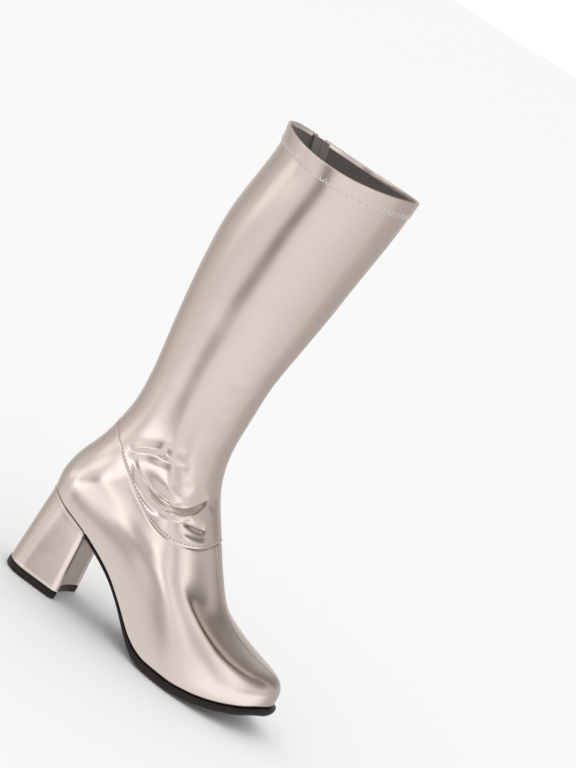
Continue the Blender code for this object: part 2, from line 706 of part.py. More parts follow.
def make_slider(collection, cutters, material, frame):
    """The slider's body with the bridge that holds the pull tab."""
    half_width, half_length = SLIDER_WIDTH / 2, SLIDER_LENGTH / 2
    body = box("zip_slider", (-half_width, -half_length, -WALL + GAP), (half_width, half_length, SLIDER_RISE), collection)
    body.data.materials.append(material)
    rounding = body.modifiers.new("rounding", "BEVEL")
    rounding.width = SLIDER_ROUNDING
    rounding.segments = 2
    window = BAR_SIZE / math.sqrt(2) + BAR_PLAY
    top = BAR_HEIGHT + window + BRIDGE_WALL
    bridge = box(
        "bridge_form",
        (-BRIDGE_WIDTH / 2, -BRIDGE_LENGTH / 2, 0.0),
        (BRIDGE_WIDTH / 2, BRIDGE_LENGTH / 2, top),
        cutters,
    )
    shape = bmesh.new()
    bmesh.ops.create_cone(
        shape, cap_ends=True, segments=16, radius1=window, radius2=window, depth=4 * BRIDGE_WIDTH,
        matrix=Matrix.Translation((0, 0, BAR_HEIGHT)) @ Matrix.Rotation(math.pi / 2, 4, "Y"),
    )
    hole_mesh = bpy.data.meshes.new("bridge_hole")
    shape.to_mesh(hole_mesh)
    shape.free()
    hole = bpy.data.objects.new("bridge_hole", hole_mesh)
    cutters.objects.link(hole)
    combine(body, bridge, "UNION")
    combine(body, hole, "DIFFERENCE")
    for obj in (body, bridge, hole):
        obj.matrix_world = frame
    return body


def hanging(frame):
    """The slider's frame moved to the hinge and turned about it, so that the pull tab hangs plumb."""
    across = Vector(frame.col[0][:3])
    up = (Vector((0, 0, 1)) - across.z * across).normalized()
    plumb = Matrix((across, up, across.cross(up))).transposed().to_4x4()
    plumb.translation = frame @ Vector((0, 0, BAR_HEIGHT))
    return plumb


def make_pull(collection, cutters, material, frame):
    """The pull tab. Its origin is on its hinge: the bar that runs through the slider's bridge."""
    half_width, half_bar = PULL_WIDTH / 2, BAR_SIZE / 2
    pull = box("zip_pull", (-half_width, -PULL_LENGTH, -half_bar), (half_width, half_bar, half_bar), collection)
    pull.data.materials.append(material)
    rounding = pull.modifiers.new("rounding", "BEVEL")
    rounding.width = PULL_ROUNDING
    rounding.segments = 1
    eye_half = BRIDGE_WIDTH / 2 + EYE_PLAY
    eye = box("eye_cutter", (-eye_half, -half_bar - EYE_LENGTH, -BAR_SIZE), (eye_half, -half_bar, BAR_SIZE), cutters)
    combine(pull, eye, "DIFFERENCE")
    for obj in (pull, eye):
        obj.matrix_world = hanging(frame)
    return pull


def new_collection(name):
    collection = bpy.data.collections.new(name)
    bpy.context.scene.collection.children.link(collection)
    return collection


def main():
    for obj in list(bpy.data.objects):
        bpy.data.objects.remove(obj)
    parts = new_collection("go_go_boot")
    cutters = new_collection("cutters")
    silver = new_material("silver_foil", (0.72, 0.68, 0.65), 0.28, 1.0)
    black = new_material("black_rubber", (0.02, 0.018, 0.016), 0.5, 0.0)
    sock = new_material("sock", (0.55, 0.50, 0.44), 0.8, 0.0)
    tape = new_material("zip_tape", (0.26, 0.23, 0.20), 0.8, 0.0)
    nylon = new_material("zip_nylon", (0.30, 0.27, 0.24), 0.45, 0.0)
    metal = new_material("zip_metal", (0.70, 0.70, 0.70), 0.25, 1.0)
    make_upper(parts, silver)
    make_sole(parts, black)
    make_insole(parts, sock)
    make_heel(parts, silver)
    make_lift(parts, black)
    make_tape(parts, tape, "zip_tape_front", 1)
    make_tape(parts, tape, "zip_tape_back", -1)
    make_chain(parts, nylon)
    frame = slider_matrix()
    make_slider(parts, cutters, metal, frame)
    make_pull(parts, cutters, metal, frame)


main()
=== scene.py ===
"""Looks of the right go go boot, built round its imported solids.

Metres, in the row frame: +X to the toe, +Y to the inner side, +Z up, z = 0 the floor. The sizes, tables and
surface functions are those of the part's source, read here on a finer grid.
"""

import math
from contextlib import contextmanager

import bmesh
import bpy
import numpy as np
from mathutils import Matrix, Vector


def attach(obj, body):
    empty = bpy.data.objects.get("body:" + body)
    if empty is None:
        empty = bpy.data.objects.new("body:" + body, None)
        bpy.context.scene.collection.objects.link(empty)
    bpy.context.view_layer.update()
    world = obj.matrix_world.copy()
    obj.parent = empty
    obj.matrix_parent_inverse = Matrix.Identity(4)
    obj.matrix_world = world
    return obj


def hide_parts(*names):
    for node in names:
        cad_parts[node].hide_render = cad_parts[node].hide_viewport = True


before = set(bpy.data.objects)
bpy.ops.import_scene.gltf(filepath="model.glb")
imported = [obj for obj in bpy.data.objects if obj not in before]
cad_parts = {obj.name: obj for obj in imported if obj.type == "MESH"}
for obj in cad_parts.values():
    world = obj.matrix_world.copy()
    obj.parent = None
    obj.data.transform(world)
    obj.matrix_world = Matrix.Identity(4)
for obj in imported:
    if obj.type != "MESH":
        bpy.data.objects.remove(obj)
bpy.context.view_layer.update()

MM = 0.001

# Foot and leg
BOOT_LENGTH = 0.242
BALL_WIDTH = 0.086
WAIST_WIDTH = 0.054
SEAT_WIDTH = 0.060
HEEL_HEIGHT = 0.075
TOE_SPRING = 0.018
TOE_HEIGHT = 0.023
FEATHER_RADIUS = 0.0015
ANKLE_HEIGHT = 0.125
ANKLE_SETBACK = 0.017
ANKLE_DEPTH = 0.088
ANKLE_WIDTH = 0.072
SHAFT_HEIGHT = 0.343
COLLAR_SETBACK = 0.006
COLLAR_DEPTH = 0.1185
COLLAR_WIDTH = 0.106
COLLAR_DIP = 0.008
INNER_DIP_SHARE = 0.4
HEM_HEIGHT = 0.014
HEM_STEP = 0.0005
WALL = 0.0016
GAP = 0.0003

# Sole and heel
FOREPART_THICKNESS = 0.0065
SHANK_THICKNESS = 0.0025
SOLE_RIM = 0.0032
SEAT_LENGTH = 0.048
HEEL_BASE_LENGTH = 0.053
HEEL_BASE_WIDTH = 0.057
BREAST_HOLLOW = 0.005
HEEL_CORNER = 0.004
BASE_ROUND = 0.45
BASE_OPENING = 0.04
LIFT_THICKNESS = 0.006
LIFT_LIP = 0.0006

# Zip
ZIP_SLOT = 0.009
ZIP_END_TAPER = 0.72
ZIP_FOOT = 0.010
TAPE_OVERLAP = 0.004
TAPE_THICKNESS = 0.0008
TAPE_TAIL = 0.0042
TAPE_TOP = 0.0015
CHAIN_WIDTH = 0.005
CHAIN_THICKNESS = 0.0013
CHAIN_INSET = 0.0012
SLIDER_DROP = 0.0085
SLIDER_LENGTH = 0.0095
SLIDER_WIDTH = 0.0074
SLIDER_RISE = 0.0012
BRIDGE_LENGTH = 0.0064
BRIDGE_WIDTH = 0.0024
BRIDGE_WALL = 0.0009
BAR_SIZE = 0.0013
BAR_PLAY = 0.0006
BAR_HEIGHT = SLIDER_RISE + BAR_PLAY + BAR_SIZE / 2 + GAP
PULL_LENGTH = 0.024
PULL_WIDTH = 0.0074
EYE_LENGTH = 0.0040
EYE_PLAY = 0.0007

SEAT_ROUND = 0.12
TOE_ROUND = 0.80
FOOT_SQUARENESS = 2.35
LEG_SQUARENESS = 2.05
WIDTH_STATIONS = (0.0, 0.15, 0.42, 0.68, 1.0)
STATION_SIZES = ("seat", "seat", "waist", "ball", "toe")
STATION_WIDTHS = {"seat": SEAT_WIDTH, "waist": WAIST_WIDTH, "ball": BALL_WIDTH, "toe": BALL_WIDTH}
HEEL_CENTRE = HEEL_BASE_LENGTH / 2
HEM_LOW = SHAFT_HEIGHT - HEM_HEIGHT


def table(columns, *rows):
    """Each row of a table by its columns' names."""
    return [dict(zip(columns.split(), row)) for row in rows]


# The part's own tables, with its column names.
FOOT_ROWS = table(
    "back_rise back_in front_out toe_rise instep_rise sag leg seat waist ball toe",
    (0.000, 0.09, 1.000, 0.00, 0.000, 1.00, 0.00, 0.490, 0.485, 0.495, 0.360),
    (0.040, 0.04, 0.998, 0.35, 0.000, 1.00, 0.00, 0.507, 0.525, 0.503, 0.375),
    (0.080, 0.01, 0.981, 0.66, 0.000, 0.90, 0.00, 0.522, 0.557, 0.505, 0.380),
    (0.116, 0.00, 0.942, 0.89, 0.000, 0.72, 0.01, 0.530, 0.577, 0.500, 0.370),
    (0.156, 0.03, 0.869, 1.00, 0.001, 0.50, 0.02, 0.533, 0.588, 0.485, 0.350),
    (0.200, 0.08, 0.752, 1.00, 0.020, 0.26, 0.06, 0.530, 0.590, 0.465, 0.320),
    (0.252, 0.17, 0.620, 1.00, 0.056, 0.08, 0.14, 0.520, 0.580, 0.445, 0.300),
    (0.312, 0.32, 0.496, 1.00, 0.121, 0.02, 0.25, 0.500, 0.565, 0.430, 0.285),
    (0.376, 0.52, 0.400, 1.00, 0.213, 0.00, 0.38, 0.490, 0.550, 0.420, 0.280),
    (0.456, 0.74, 0.310, 1.00, 0.318, 0.00, 0.52, 0.480, 0.550, 0.420, 0.280),
    (0.552, 0.92, 0.219, 1.00, 0.430, 0.00, 0.66, 0.480, 0.550, 0.420, 0.280),
    (0.656, 1.06, 0.124, 1.00, 0.548, 0.00, 0.79, 0.480, 0.550, 0.420, 0.280),
    (0.768, 1.12, 0.047, 1.00, 0.685, 0.00, 0.90, 0.480, 0.550, 0.420, 0.280),
    (0.884, 1.08, 0.006, 1.00, 0.843, 0.00, 0.97, 0.480, 0.550, 0.420, 0.280),
    (1.000, 1.00, 0.000, 1.00, 1.000, 0.00, 1.00, 0.480, 0.550, 0.420, 0.280),
)
LEG_ROWS = table(
    "rise back front width dip",
    (0.163, 0.500, 0.010, 0.09, 0.00),
    (0.326, 0.955, 0.230, 0.29, 0.00),
    (0.488, 1.270, 0.460, 0.53, 0.02),
    (0.651, 1.290, 0.667, 0.74, 0.12),
    (0.814, 0.945, 0.870, 0.88, 0.40),
    (0.930, 0.780, 0.970, 0.95, 0.78),
    (1.000, 1.000, 1.000, 1.00, 1.00),
)
ARCH_LINE = (
    (0.0, 1.0), (0.099, 0.905), (0.198, 0.790), (0.264, 0.690), (0.339, 0.551), (0.403, 0.395),
    (0.464, 0.226), (0.504, 0.122), (0.545, 0.045), (0.574, 0.013), (0.60, 0.0),
)
SPRING_LINE = ((0.69, 0.0), (0.77, 0.10), (0.85, 0.32), (0.93, 0.65), (1.0, 1.0))
THICKNESS_LINE = ((0.38, 0.0), (0.46, 0.30), (0.54, 0.82), (0.60, 1.0))
SWING_LINE = ((0.0, 0.0), (0.15, 0.0), (0.42, -0.028), (0.62, -0.028), (0.80, 0.0), (1.0, 0.040))
RIM_LINE = ((0.40, 0.0), (0.48, 0.10), (0.58, 0.80), (0.66, 1.0))
ZIP_LINE = (
    (0.026, 0.312), (0.093, 0.375), (0.168, 0.420), (0.250, 0.476), (0.370, 0.512), (0.470, 0.480),
    (0.570, 0.420), (0.680, 0.360), (0.780, 0.290), (0.880, 0.205), (1.000, 0.140),
)

# The curved seam between foot and leg: turn without its sign, height in millimetres.
SEAM_LINE = (
    (0.0, 67.0), (0.088, 65.0), (0.253, 57.0), (0.365, 51.0), (0.468, 48.0), (0.533, 50.0),
    (0.603, 55.0), (0.688, 62.0), (0.78, 67.0), (0.875, 70.0), (1.0, 71.5),
)
# The front seam of the foot: height in millimetres, turn.
FRONT_LINE = (
    (0.0, 0.0), (35.0, 0.0), (44.0, -0.023), (54.0, -0.035), (67.0, -0.06), (83.0, -0.08), (120.0, -0.05),
)

# Creases. rise: millimetres out of the surface, or into it if negative. above, below: half
# widths in millimetres on the upper and the lower side. path: (height in millimetres, turn) by rising turn.
FOLD_ROWS = table(
    "rise above below path",
    (-2.5, 7.0, 2.7, (
        (67, -0.590), (64.5, -0.515), (65.5, -0.440), (70, -0.360), (76, -0.265), (83.5, -0.175),
        (87, -0.130),
    )),
    (1.7, 1.9, 2.8, (
        (70, -0.655), (64, -0.600), (60.5, -0.523), (60.5, -0.450), (63.5, -0.380), (69, -0.300),
        (78, -0.210), (86, -0.120),
    )),
    (-0.8, 2.4, 2.6, ((59, -0.620), (55, -0.550), (55, -0.490), (59, -0.430))),
    (0.9, 5.0, 1.3, ((71, -0.700), (74, -0.655), (80, -0.600), (87, -0.525), (91, -0.470))),
    (-0.9, 1.3, 5.5, ((69, -0.695), (72, -0.650), (78, -0.595), (85, -0.520), (89, -0.465))),
    (-0.7, 3.0, 3.5, ((76, -0.590), (84, -0.488), (90, -0.370), (93, -0.300))),
    (-0.6, 3.5, 4.0, ((92, -0.520), (95, -0.430), (98, -0.340))),
    (-0.6, 4.0, 4.0, ((76, -0.420), (81, -0.340), (87, -0.250))),
    (-1.7, 3.0, 3.0, ((65, -0.330), (67, -0.280), (69, -0.210), (71, -0.150))),
    (0.9, 2.2, 3.0, ((57, -0.360), (59, -0.290), (62, -0.210), (66, -0.130))),
    (-0.7, 4.0, 4.0, ((80, -0.120), (86, -0.070), (90, -0.020))),
    (-0.4, 5.0, 5.0, ((119, -0.348), (123, -0.205), (124, -0.02))),
    (-0.4, 7.0, 6.0, ((143, -0.34), (150, -0.22), (160, -0.08))),
    (0.3, 6.0, 7.0, ((133, -0.33), (140, -0.20), (150, -0.06))),
    (0.4, 5.0, 5.0, ((110, -0.300), (113, -0.180), (114, -0.02))),
    (-1.4, 6.0, 3.0, ((70, 0.16), (74, 0.25), (80, 0.36), (84, 0.44))),
    (1.1, 2.0, 3.0, ((64, 0.12), (67, 0.22), (73, 0.34), (77, 0.44))),
    (-0.9, 4.5, 4.5, ((88, 0.06), (92, 0.20), (98, 0.34))),
    (-0.8, 4.5, 3.5, ((78, 0.66), (84, 0.76), (90, 0.86))),
    (0.8, 3.0, 3.0, ((72, 0.62), (76, 0.72), (80, 0.82))),
)


def smooth_line(points):
    """A natural cubic spline through (place, value) points, straight past its ends."""
    place, value = np.array(points, float).T
    gap = np.diff(place)
    rise = np.diff(value) / gap
    matrix = np.eye(len(place))
    right = np.zeros(len(place))
    for i in range(1, len(place) - 1):
        matrix[i, i - 1 : i + 2] = gap[i - 1], 2 * (gap[i - 1] + gap[i]), gap[i]
        right[i] = 6 * (rise[i] - rise[i - 1])
    bend = np.linalg.solve(matrix, right)

    def line(at):
        at = np.asarray(at, float)
        held = np.clip(at, place[0], place[-1])
        i = np.clip(np.searchsorted(place, held) - 1, 0, len(gap) - 1)
        a, b = held - place[i], place[i + 1] - held
        inside = (
            (bend[i] * b**3 + bend[i + 1] * a**3) / (6 * gap[i])
            + (value[i] / gap[i] - bend[i] * gap[i] / 6) * b
            + (value[i + 1] / gap[i] - bend[i + 1] * gap[i] / 6) * a
        )
        first = rise[0] - gap[0] * bend[1] / 6
        last = rise[-1] + gap[-1] * bend[-2] / 6
        return inside + np.where(at < place[0], first, last) * (at - held)

    return line


def steady_line(points):
    """A cubic line through (place, value) points that never overshoots them, level past its ends."""
    place, value = np.array(points, float).T
    gap = np.diff(place)
    rise = np.diff(value) / gap
    slope = np.zeros(len(place))
    for i in range(1, len(place) - 1):
        if rise[i - 1] * rise[i] > 0:
            before, after = gap[i - 1] + 2 * gap[i], 2 * gap[i - 1] + gap[i]
            slope[i] = (before + after) / (before / rise[i - 1] + after / rise[i])

    def line(at):
        at = np.clip(np.asarray(at, float), place[0], place[-1])
        i = np.clip(np.searchsorted(place, at) - 1, 0, len(gap) - 1)
        t = (at - place[i]) / gap[i]
        return (
            value[i] * (1 + 2 * t) * (1 - t) ** 2
            + slope[i] * gap[i] * t * (1 - t) ** 2
            + value[i + 1] * t * t * (3 - 2 * t)
            - slope[i + 1] * gap[i] * t * t * (1 - t)
        )

    return line


def ramp(value, low, high):
    """0 below low, 1 above high and smooth between."""
    t = np.clip((np.asarray(value, float) - low) / (high - low), 0, 1)
    return t * t * (3 - 2 * t)


arch_line = steady_line(ARCH_LINE)
spring_line = steady_line(SPRING_LINE)
thickness_line = steady_line(THICKNESS_LINE)
rim_line = steady_line(RIM_LINE)
swing_line = smooth_line(SWING_LINE)
zip_line = smooth_line(ZIP_LINE)
seam_line = steady_line(SEAM_LINE)
front_line = steady_line(FRONT_LINE)


def sole_thickness(x):
    return SHANK_THICKNESS + (FOREPART_THICKNESS - SHANK_THICKNESS) * thickness_line(x / BOOT_LENGTH)


def sole_bottom(x):
    """Height of the sole's underside at x metres from the heel's back."""
    along = np.asarray(x, float) / BOOT_LENGTH
    last_step = SPRING_LINE[-1][0] - SPRING_LINE[-2][0]
    last_rise = SPRING_LINE[-1][1] - SPRING_LINE[-2][1]
    toe = spring_line(along) + np.maximum(along - 1, 0) * last_rise / last_step
    return (HEEL_HEIGHT - SHANK_THICKNESS) * arch_line(along) + TOE_SPRING * toe


def feather(x):
    """Height of the line where the upper meets the sole."""
    return sole_bottom(x) + sole_thickness(x)


def girth_lines():
    """Each size of the upper's rings as a line over the ring's height at the heel's back."""
    ankle_front = ANKLE_SETBACK + ANKLE_DEPTH
    ankle_level = HEEL_HEIGHT + ANKLE_HEIGHT
    collar_front = COLLAR_SETBACK + COLLAR_DEPTH
    toe_top = float(feather(BOOT_LENGTH)) + TOE_HEIGHT
    rings = []
    for row in FOOT_ROWS:
        leg = row["leg"]
        ring = {
            "height": row["back_rise"] * ANKLE_HEIGHT,
            "back_x": row["back_in"] * ANKLE_SETBACK,
            "front_x": ankle_front + row["front_out"] * (BOOT_LENGTH - ankle_front),
            "front_z": toe_top - (1 - row["toe_rise"]) * TOE_HEIGHT
            + row["instep_rise"] * (ankle_level - toe_top),
            "sag": row["sag"],
            "leg": leg,
            "dip": 0.0,
        }
        for name, width in STATION_WIDTHS.items():
            ring[name] = (1 - leg) * row[name] * width + leg * ANKLE_WIDTH / 2
        rings.append(ring)
    for row in LEG_ROWS:
        height = ANKLE_HEIGHT + row["rise"] * (SHAFT_HEIGHT - ANKLE_HEIGHT)
        half = (ANKLE_WIDTH + row["width"] * (COLLAR_WIDTH - ANKLE_WIDTH)) / 2
        rings.append({
            "height": height,
            "back_x": ANKLE_SETBACK + row["back"] * (COLLAR_SETBACK - ANKLE_SETBACK),
            "front_x": ankle_front + row["front"] * (collar_front - ankle_front),
            "front_z": HEEL_HEIGHT + height,
            "sag": 0.0,
            "leg": 1.0,
            "dip": row["dip"] * COLLAR_DIP,
            **dict.fromkeys(STATION_WIDTHS, half),
        })
    names = [name for name in rings[0] if name != "height"]
    return {name: smooth_line([(ring["height"], ring[name]) for ring in rings]) for name in names}


GIRTH = girth_lines()
STATION_LINES = [smooth_line(list(zip(WIDTH_STATIONS, weights))) for weights in np.eye(len(WIDTH_STATIONS))]


def round_ends(share, leg):
    """1 along the middle of a ring, falling to 0 in a round end at its back and its front."""
    back_end = SEAT_ROUND + leg * (0.5 - SEAT_ROUND)
    front_start = TOE_ROUND + leg * (0.5 - TOE_ROUND)
    power = FOOT_SQUARENESS + leg * (LEG_SQUARENESS - FOOT_SQUARENESS)
    behind = np.clip(1 - share / back_end, 0, 1)
    ahead = np.clip((share - front_start) / (1 - front_start), 0, 1)
    return (1 - behind**power) ** (1 / power) * (1 - ahead**power) ** (1 / power)


def surface(height, turn):
    """Points of the upper's outer face. A turn is 0 at the front and goes round the inner side to 1 at the
    back, and round the outer side to -1."""
    height, turn = np.broadcast_arrays(np.asarray(height, float), np.asarray(turn, float))
    size = {name: line(height) for name, line in GIRTH.items()}
    leg = np.clip(size["leg"], 0, 1)
    share = 0.5 * (1 + np.cos(np.pi * turn))
    x = size["back_x"] + share * (size["front_x"] - size["back_x"])
    z = HEEL_HEIGHT + height + share * (size["front_z"] - HEEL_HEIGHT - height)
    straight = feather(size["back_x"]) * (1 - share) + feather(size["front_x"]) * share
    z = z + size["sag"] * (feather(x) - straight)
    z = z - size["dip"] * np.sin(np.pi * turn) ** 2 * np.where(turn > 0, INNER_DIP_SHARE, 1.0)
    halves = sum(size[name] * line(share) for name, line in zip(STATION_SIZES, STATION_LINES))
    y = np.sign(np.sin(np.pi * turn)) * halves * round_ends(share, leg)
    y = y + (1 - leg) * BALL_WIDTH * swing_line(x / BOOT_LENGTH)
    return np.stack([x - HEEL_CENTRE, y, z], axis=-1)


def unit(vectors):
    return vectors / np.linalg.norm(vectors, axis=-1, keepdims=True)


def directions(height, turn, step=1e-3):
    """Unit vectors out of the upper's face and up along it."""
    round_it = surface(height, turn + step) - surface(height, turn - step)
    low, high = np.maximum(height - step / 4, 0.0), np.minimum(height + step / 4, SHAFT_HEIGHT)
    up_it = surface(high, turn) - surface(low, turn)
    return unit(np.cross(round_it, up_it)), unit(up_it)


# A small turn, over which metres per turn are measured.
TURN_STEP = 0.01


def zip_tables():
    """Heights up the zip, the turn of its middle at each and the metres per turn there."""
    heights = np.linspace(0, SHAFT_HEIGHT, 300)
    middle = np.arccos(2 * zip_line(heights / SHAFT_HEIGHT) - 1) / np.pi
    across = surface(heights, middle - TURN_STEP) - surface(heights, middle + TURN_STEP)
    span = np.linalg.norm(across, axis=-1)
    return heights, middle, span / (2 * TURN_STEP)


ZIP_HEIGHTS, ZIP_MIDDLES, ZIP_SPANS = zip_tables()


def zip_turn(height, across=0.0):
    """The turn of a point that lies across metres in front of the zip's middle."""
    return np.interp(height, ZIP_HEIGHTS, ZIP_MIDDLES) - across / np.interp(height, ZIP_HEIGHTS, ZIP_SPANS)


def slot_half(height):
    """Half the zip slot's width: round at its foot, then opening slowly."""
    height = np.asarray(height, float)
    climb = np.clip((height - ZIP_FOOT) / (2 * ZIP_FOOT), 0, 1)
    half = ZIP_SLOT / 2 * (ZIP_END_TAPER + (1 - ZIP_END_TAPER) * climb)
    foot = ZIP_SLOT / 2 * ZIP_END_TAPER
    below = np.clip(1 - (height - ZIP_FOOT) / foot, 0, 1)
    return half * np.sqrt(1 - below**2)


# The folded edge beside the zip: millimetres from the slot's edge, millimetres under the face.
EDGE_ROWS = (
    (0.30, 1.50), (0.0, 1.20), (0.0, 0.50), (0.07, 0.25), (0.25, 0.07), (0.5, 0.0), (0.8, 0.0), (1.2, 0.0),
    (1.8, 0.0), (2.6, 0.0), (3.8, 0.0), (5.4, 0.0),
)
EDGE_STEPS, EDGE_DEPTHS = np.array(EDGE_ROWS).T * MM
# The first of these steps meet in one line under the slot, where nothing is folded.
FOLDED_STEPS = 5
SLOT_FADE = (-0.001, 0.0003)
# Columns beside the front seam, in turns from it.
FRONT_STEPS = np.array([0.0, 0.0022, 0.0045, 0.007, 0.010, 0.015, 0.022])


def in_slot(height):
    """0 below the foot of the zip's slot, 1 above it."""
    return ramp(height, ZIP_FOOT + SLOT_FADE[0], ZIP_FOOT + SLOT_FADE[1])


def turns_at(height, back, outer, front):
    """The turns of a skin's columns at these heights, from the slot's back edge round the back, the outer
    side and the front to the slot's front edge. back, outer, front: how many even columns each has."""
    height = np.asarray(height, float)
    half = slot_half(height)
    middle = front_line(height / MM)
    folded = in_slot(height)
    steps = [step * folded if i < FOLDED_STEPS else step for i, step in enumerate(EDGE_STEPS)]
    columns = [zip_turn(height, -(half + step)) for step in steps]
    start = columns[-1]
    columns += [start + (1 - start) * (i + 1) / back for i in range(back)]
    last = middle - FRONT_STEPS[-1]
    columns += [-1 + (last + 1) * (i + 1) / outer for i in range(outer)]
    columns += [middle - step for step in FRONT_STEPS[-2::-1]]
    columns += [middle + step for step in FRONT_STEPS[1:]]
    start = middle + FRONT_STEPS[-1]
    stop = zip_turn(height, half + EDGE_STEPS[-1])
    columns += [start + (stop - start) * (i + 1) / front for i in range(front)]
    columns += [zip_turn(height, half + step) for step in steps[-2::-1]]
    return np.stack(columns, axis=-1)


def own_turns(heights, grid):
    """The turn of each column at its own height."""
    every = np.arange(heights.shape[-1])
    return turns_at(heights, *grid)[..., every, every]


def edge_depth(height):
    """How deep each column of a skin lies, from the folded edges beside the zip."""
    depth = np.zeros(height.shape[-1])
    depth[: len(EDGE_DEPTHS)] = EDGE_DEPTHS
    depth[-len(EDGE_DEPTHS) :] = EDGE_DEPTHS[::-1]
    return depth * in_slot(height)


FOLD_POINTS = 60
FOLD_REACH = 2.6
FOLD_TAPER = 0.3


def fold_lift(points):
    """How far the creases move each point out of the plain surface."""
    lift = np.zeros(points.shape[:-1])
    flat = points.reshape(-1, 3)
    fine = np.linspace(0, 1, FOLD_POINTS)
    for row in FOLD_ROWS:
        path = np.array(row["path"], float)
        along = np.linspace(0, 1, len(path))
        height, turn = (smooth_line(list(zip(along, values)))(fine) for values in path.T)
        height = height * MM
        line = surface(height, turn)
        out, _ = directions(height, turn)
        above, below = row["above"] * MM, row["below"] * MM
        reach = FOLD_REACH * max(above, below)
        low, high = line.min(axis=0) - reach, line.max(axis=0) + reach
        near = np.flatnonzero(np.all((flat > low) & (flat < high), axis=1))
        best = np.full(len(near), np.inf)
        place = np.zeros(len(near))
        side = np.zeros(len(near))
        for i, step in enumerate(np.diff(line, axis=0)):
            from_start = flat[near] - line[i]
            share = np.clip(from_start @ step / (step @ step), 0, 1)
            away = np.linalg.norm(from_start - share[:, None] * step, axis=1)
            closer = away < best
            best = np.where(closer, away, best)
            place = np.where(closer, (i + share) / (len(line) - 1), place)
            side = np.where(closer, from_start @ np.cross(out[i], step), side)
        taper = ramp(place, 0, FOLD_TAPER) * ramp(1 - place, 0, FOLD_TAPER)
        shape = np.exp(-((best / np.where(side > 0, above, below)) ** 2))
        lift.reshape(-1)[near] += row["rise"] * MM * taper * shape
    return lift


SEAM_GROOVE = 0.00045
SEAM_REACH = 0.0006
SEAM_GUESS = 0.06
PUCKER_PITCH = 0.0032
PUCKER_DEPTH = 0.00010
PUCKER_REACH = 2.4 * SEAM_REACH
FRONT_GROOVE = 0.00035
FRONT_REACH = 0.0007
FRONT_FADE = (0.008, 0.016)
HEM_FADE = 0.0004
RIM_RADIUS = 0.0009
# A slight unevenness of the whole skin, in waves of about 10 cm.
SWELL = 0.00025


def seam_height(turn):
    return seam_line(np.abs(turn)) * MM


def seam_at_columns(grid):
    """The height of the seam on each column, found in a few steps from a guess."""
    height = np.full(turns_at(SEAM_GUESS, *grid).shape[-1], SEAM_GUESS)
    for _ in range(6):
        height = seam_height(own_turns(height, grid))
    return height


def relief(height, turn, points):
    """Everything that stands out of or into the plain surface: creases, seams, hem and a slight swell."""
    from_seam = height - seam_height(turn)
    lift = fold_lift(points) - SEAM_GROOVE * np.exp(-((from_seam / SEAM_REACH) ** 2))
    pucker = 0.5 + 0.5 * np.cos(2 * np.pi * points[..., 0] / PUCKER_PITCH)
    lift = lift - PUCKER_DEPTH * pucker * np.exp(-((from_seam / PUCKER_REACH) ** 2))
    middle = front_line(height / MM)
    span = np.linalg.norm(surface(height, middle + TURN_STEP) - surface(height, middle), axis=-1)
    across = (turn - middle) * span / TURN_STEP
    foot_only = ramp(-from_seam, -0.0005, 0.0) * ramp(height, *FRONT_FADE)
    lift = lift - FRONT_GROOVE * foot_only * np.exp(-((across / FRONT_REACH) ** 2))
    lift = lift + HEM_STEP * ramp(height, HEM_LOW - HEM_FADE, HEM_LOW + HEM_FADE)
    x, y, z = np.moveaxis(points, -1, 0)
    wave = np.sin(47 * z + 31 * x + 1.3) * np.sin(38 * y - 29 * z + 0.4) + 0.5 * np.sin(95 * z - 40 * x)
    return lift + SWELL * wave * ramp(height, 0.02, 0.06) * ramp(SHAFT_HEIGHT - height, 0.0, 0.05)


def skin(height, turn, depth=0.0):
    """Points of the finished upper, this deep under its face."""
    points = surface(height, turn)
    out, _ = directions(height, turn)
    lift = relief(height, turn, points)
    return points + out * (lift - depth)[..., None]


def grid_mesh(name, rows, joined=False, uv=None):
    """A mesh of quads over rows of points (rows, columns, 3), joined if the last column meets the first."""
    count, width = rows.shape[:2]
    index = np.arange(count * width).reshape(count, width)
    if joined:
        index = np.concatenate([index, index[:, :1]], axis=1)
    quads = np.stack([index[:-1, :-1], index[:-1, 1:], index[1:, 1:], index[1:, :-1]], axis=-1).reshape(-1, 4)
    mesh = bpy.data.meshes.new(name)
    mesh.from_pydata(rows.reshape(-1, 3).tolist(), [], quads.tolist())
    if uv is not None:
        layer = mesh.uv_layers.new(name="metres")
        layer.data.foreach_set("uv", uv.reshape(-1, 2)[quads.reshape(-1)].reshape(-1))
    return mesh


@contextmanager
def editing(mesh):
    """The mesh opened for changes."""
    shape = bmesh.new()
    shape.from_mesh(mesh)
    shape.verts.ensure_lookup_table()
    yield shape
    shape.to_mesh(mesh)
    shape.free()


def weld(mesh, distance=2e-6):
    with editing(mesh) as shape:
        bmesh.ops.remove_doubles(shape, verts=shape.verts, dist=distance)
        bmesh.ops.dissolve_degenerate(shape, edges=shape.edges, dist=1e-7)


def new_object(name, mesh, material):
    thing = bpy.data.objects.new(name, mesh)
    bpy.context.scene.collection.objects.link(thing)
    mesh.materials.append(material)
    return thing


def new_piece(name, mesh, material, slot, body="boot", replaces=None):
    mesh.shade_smooth()
    piece = new_object(name, mesh, material)
    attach(piece, body)
    if replaces:
        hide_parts(replaces)


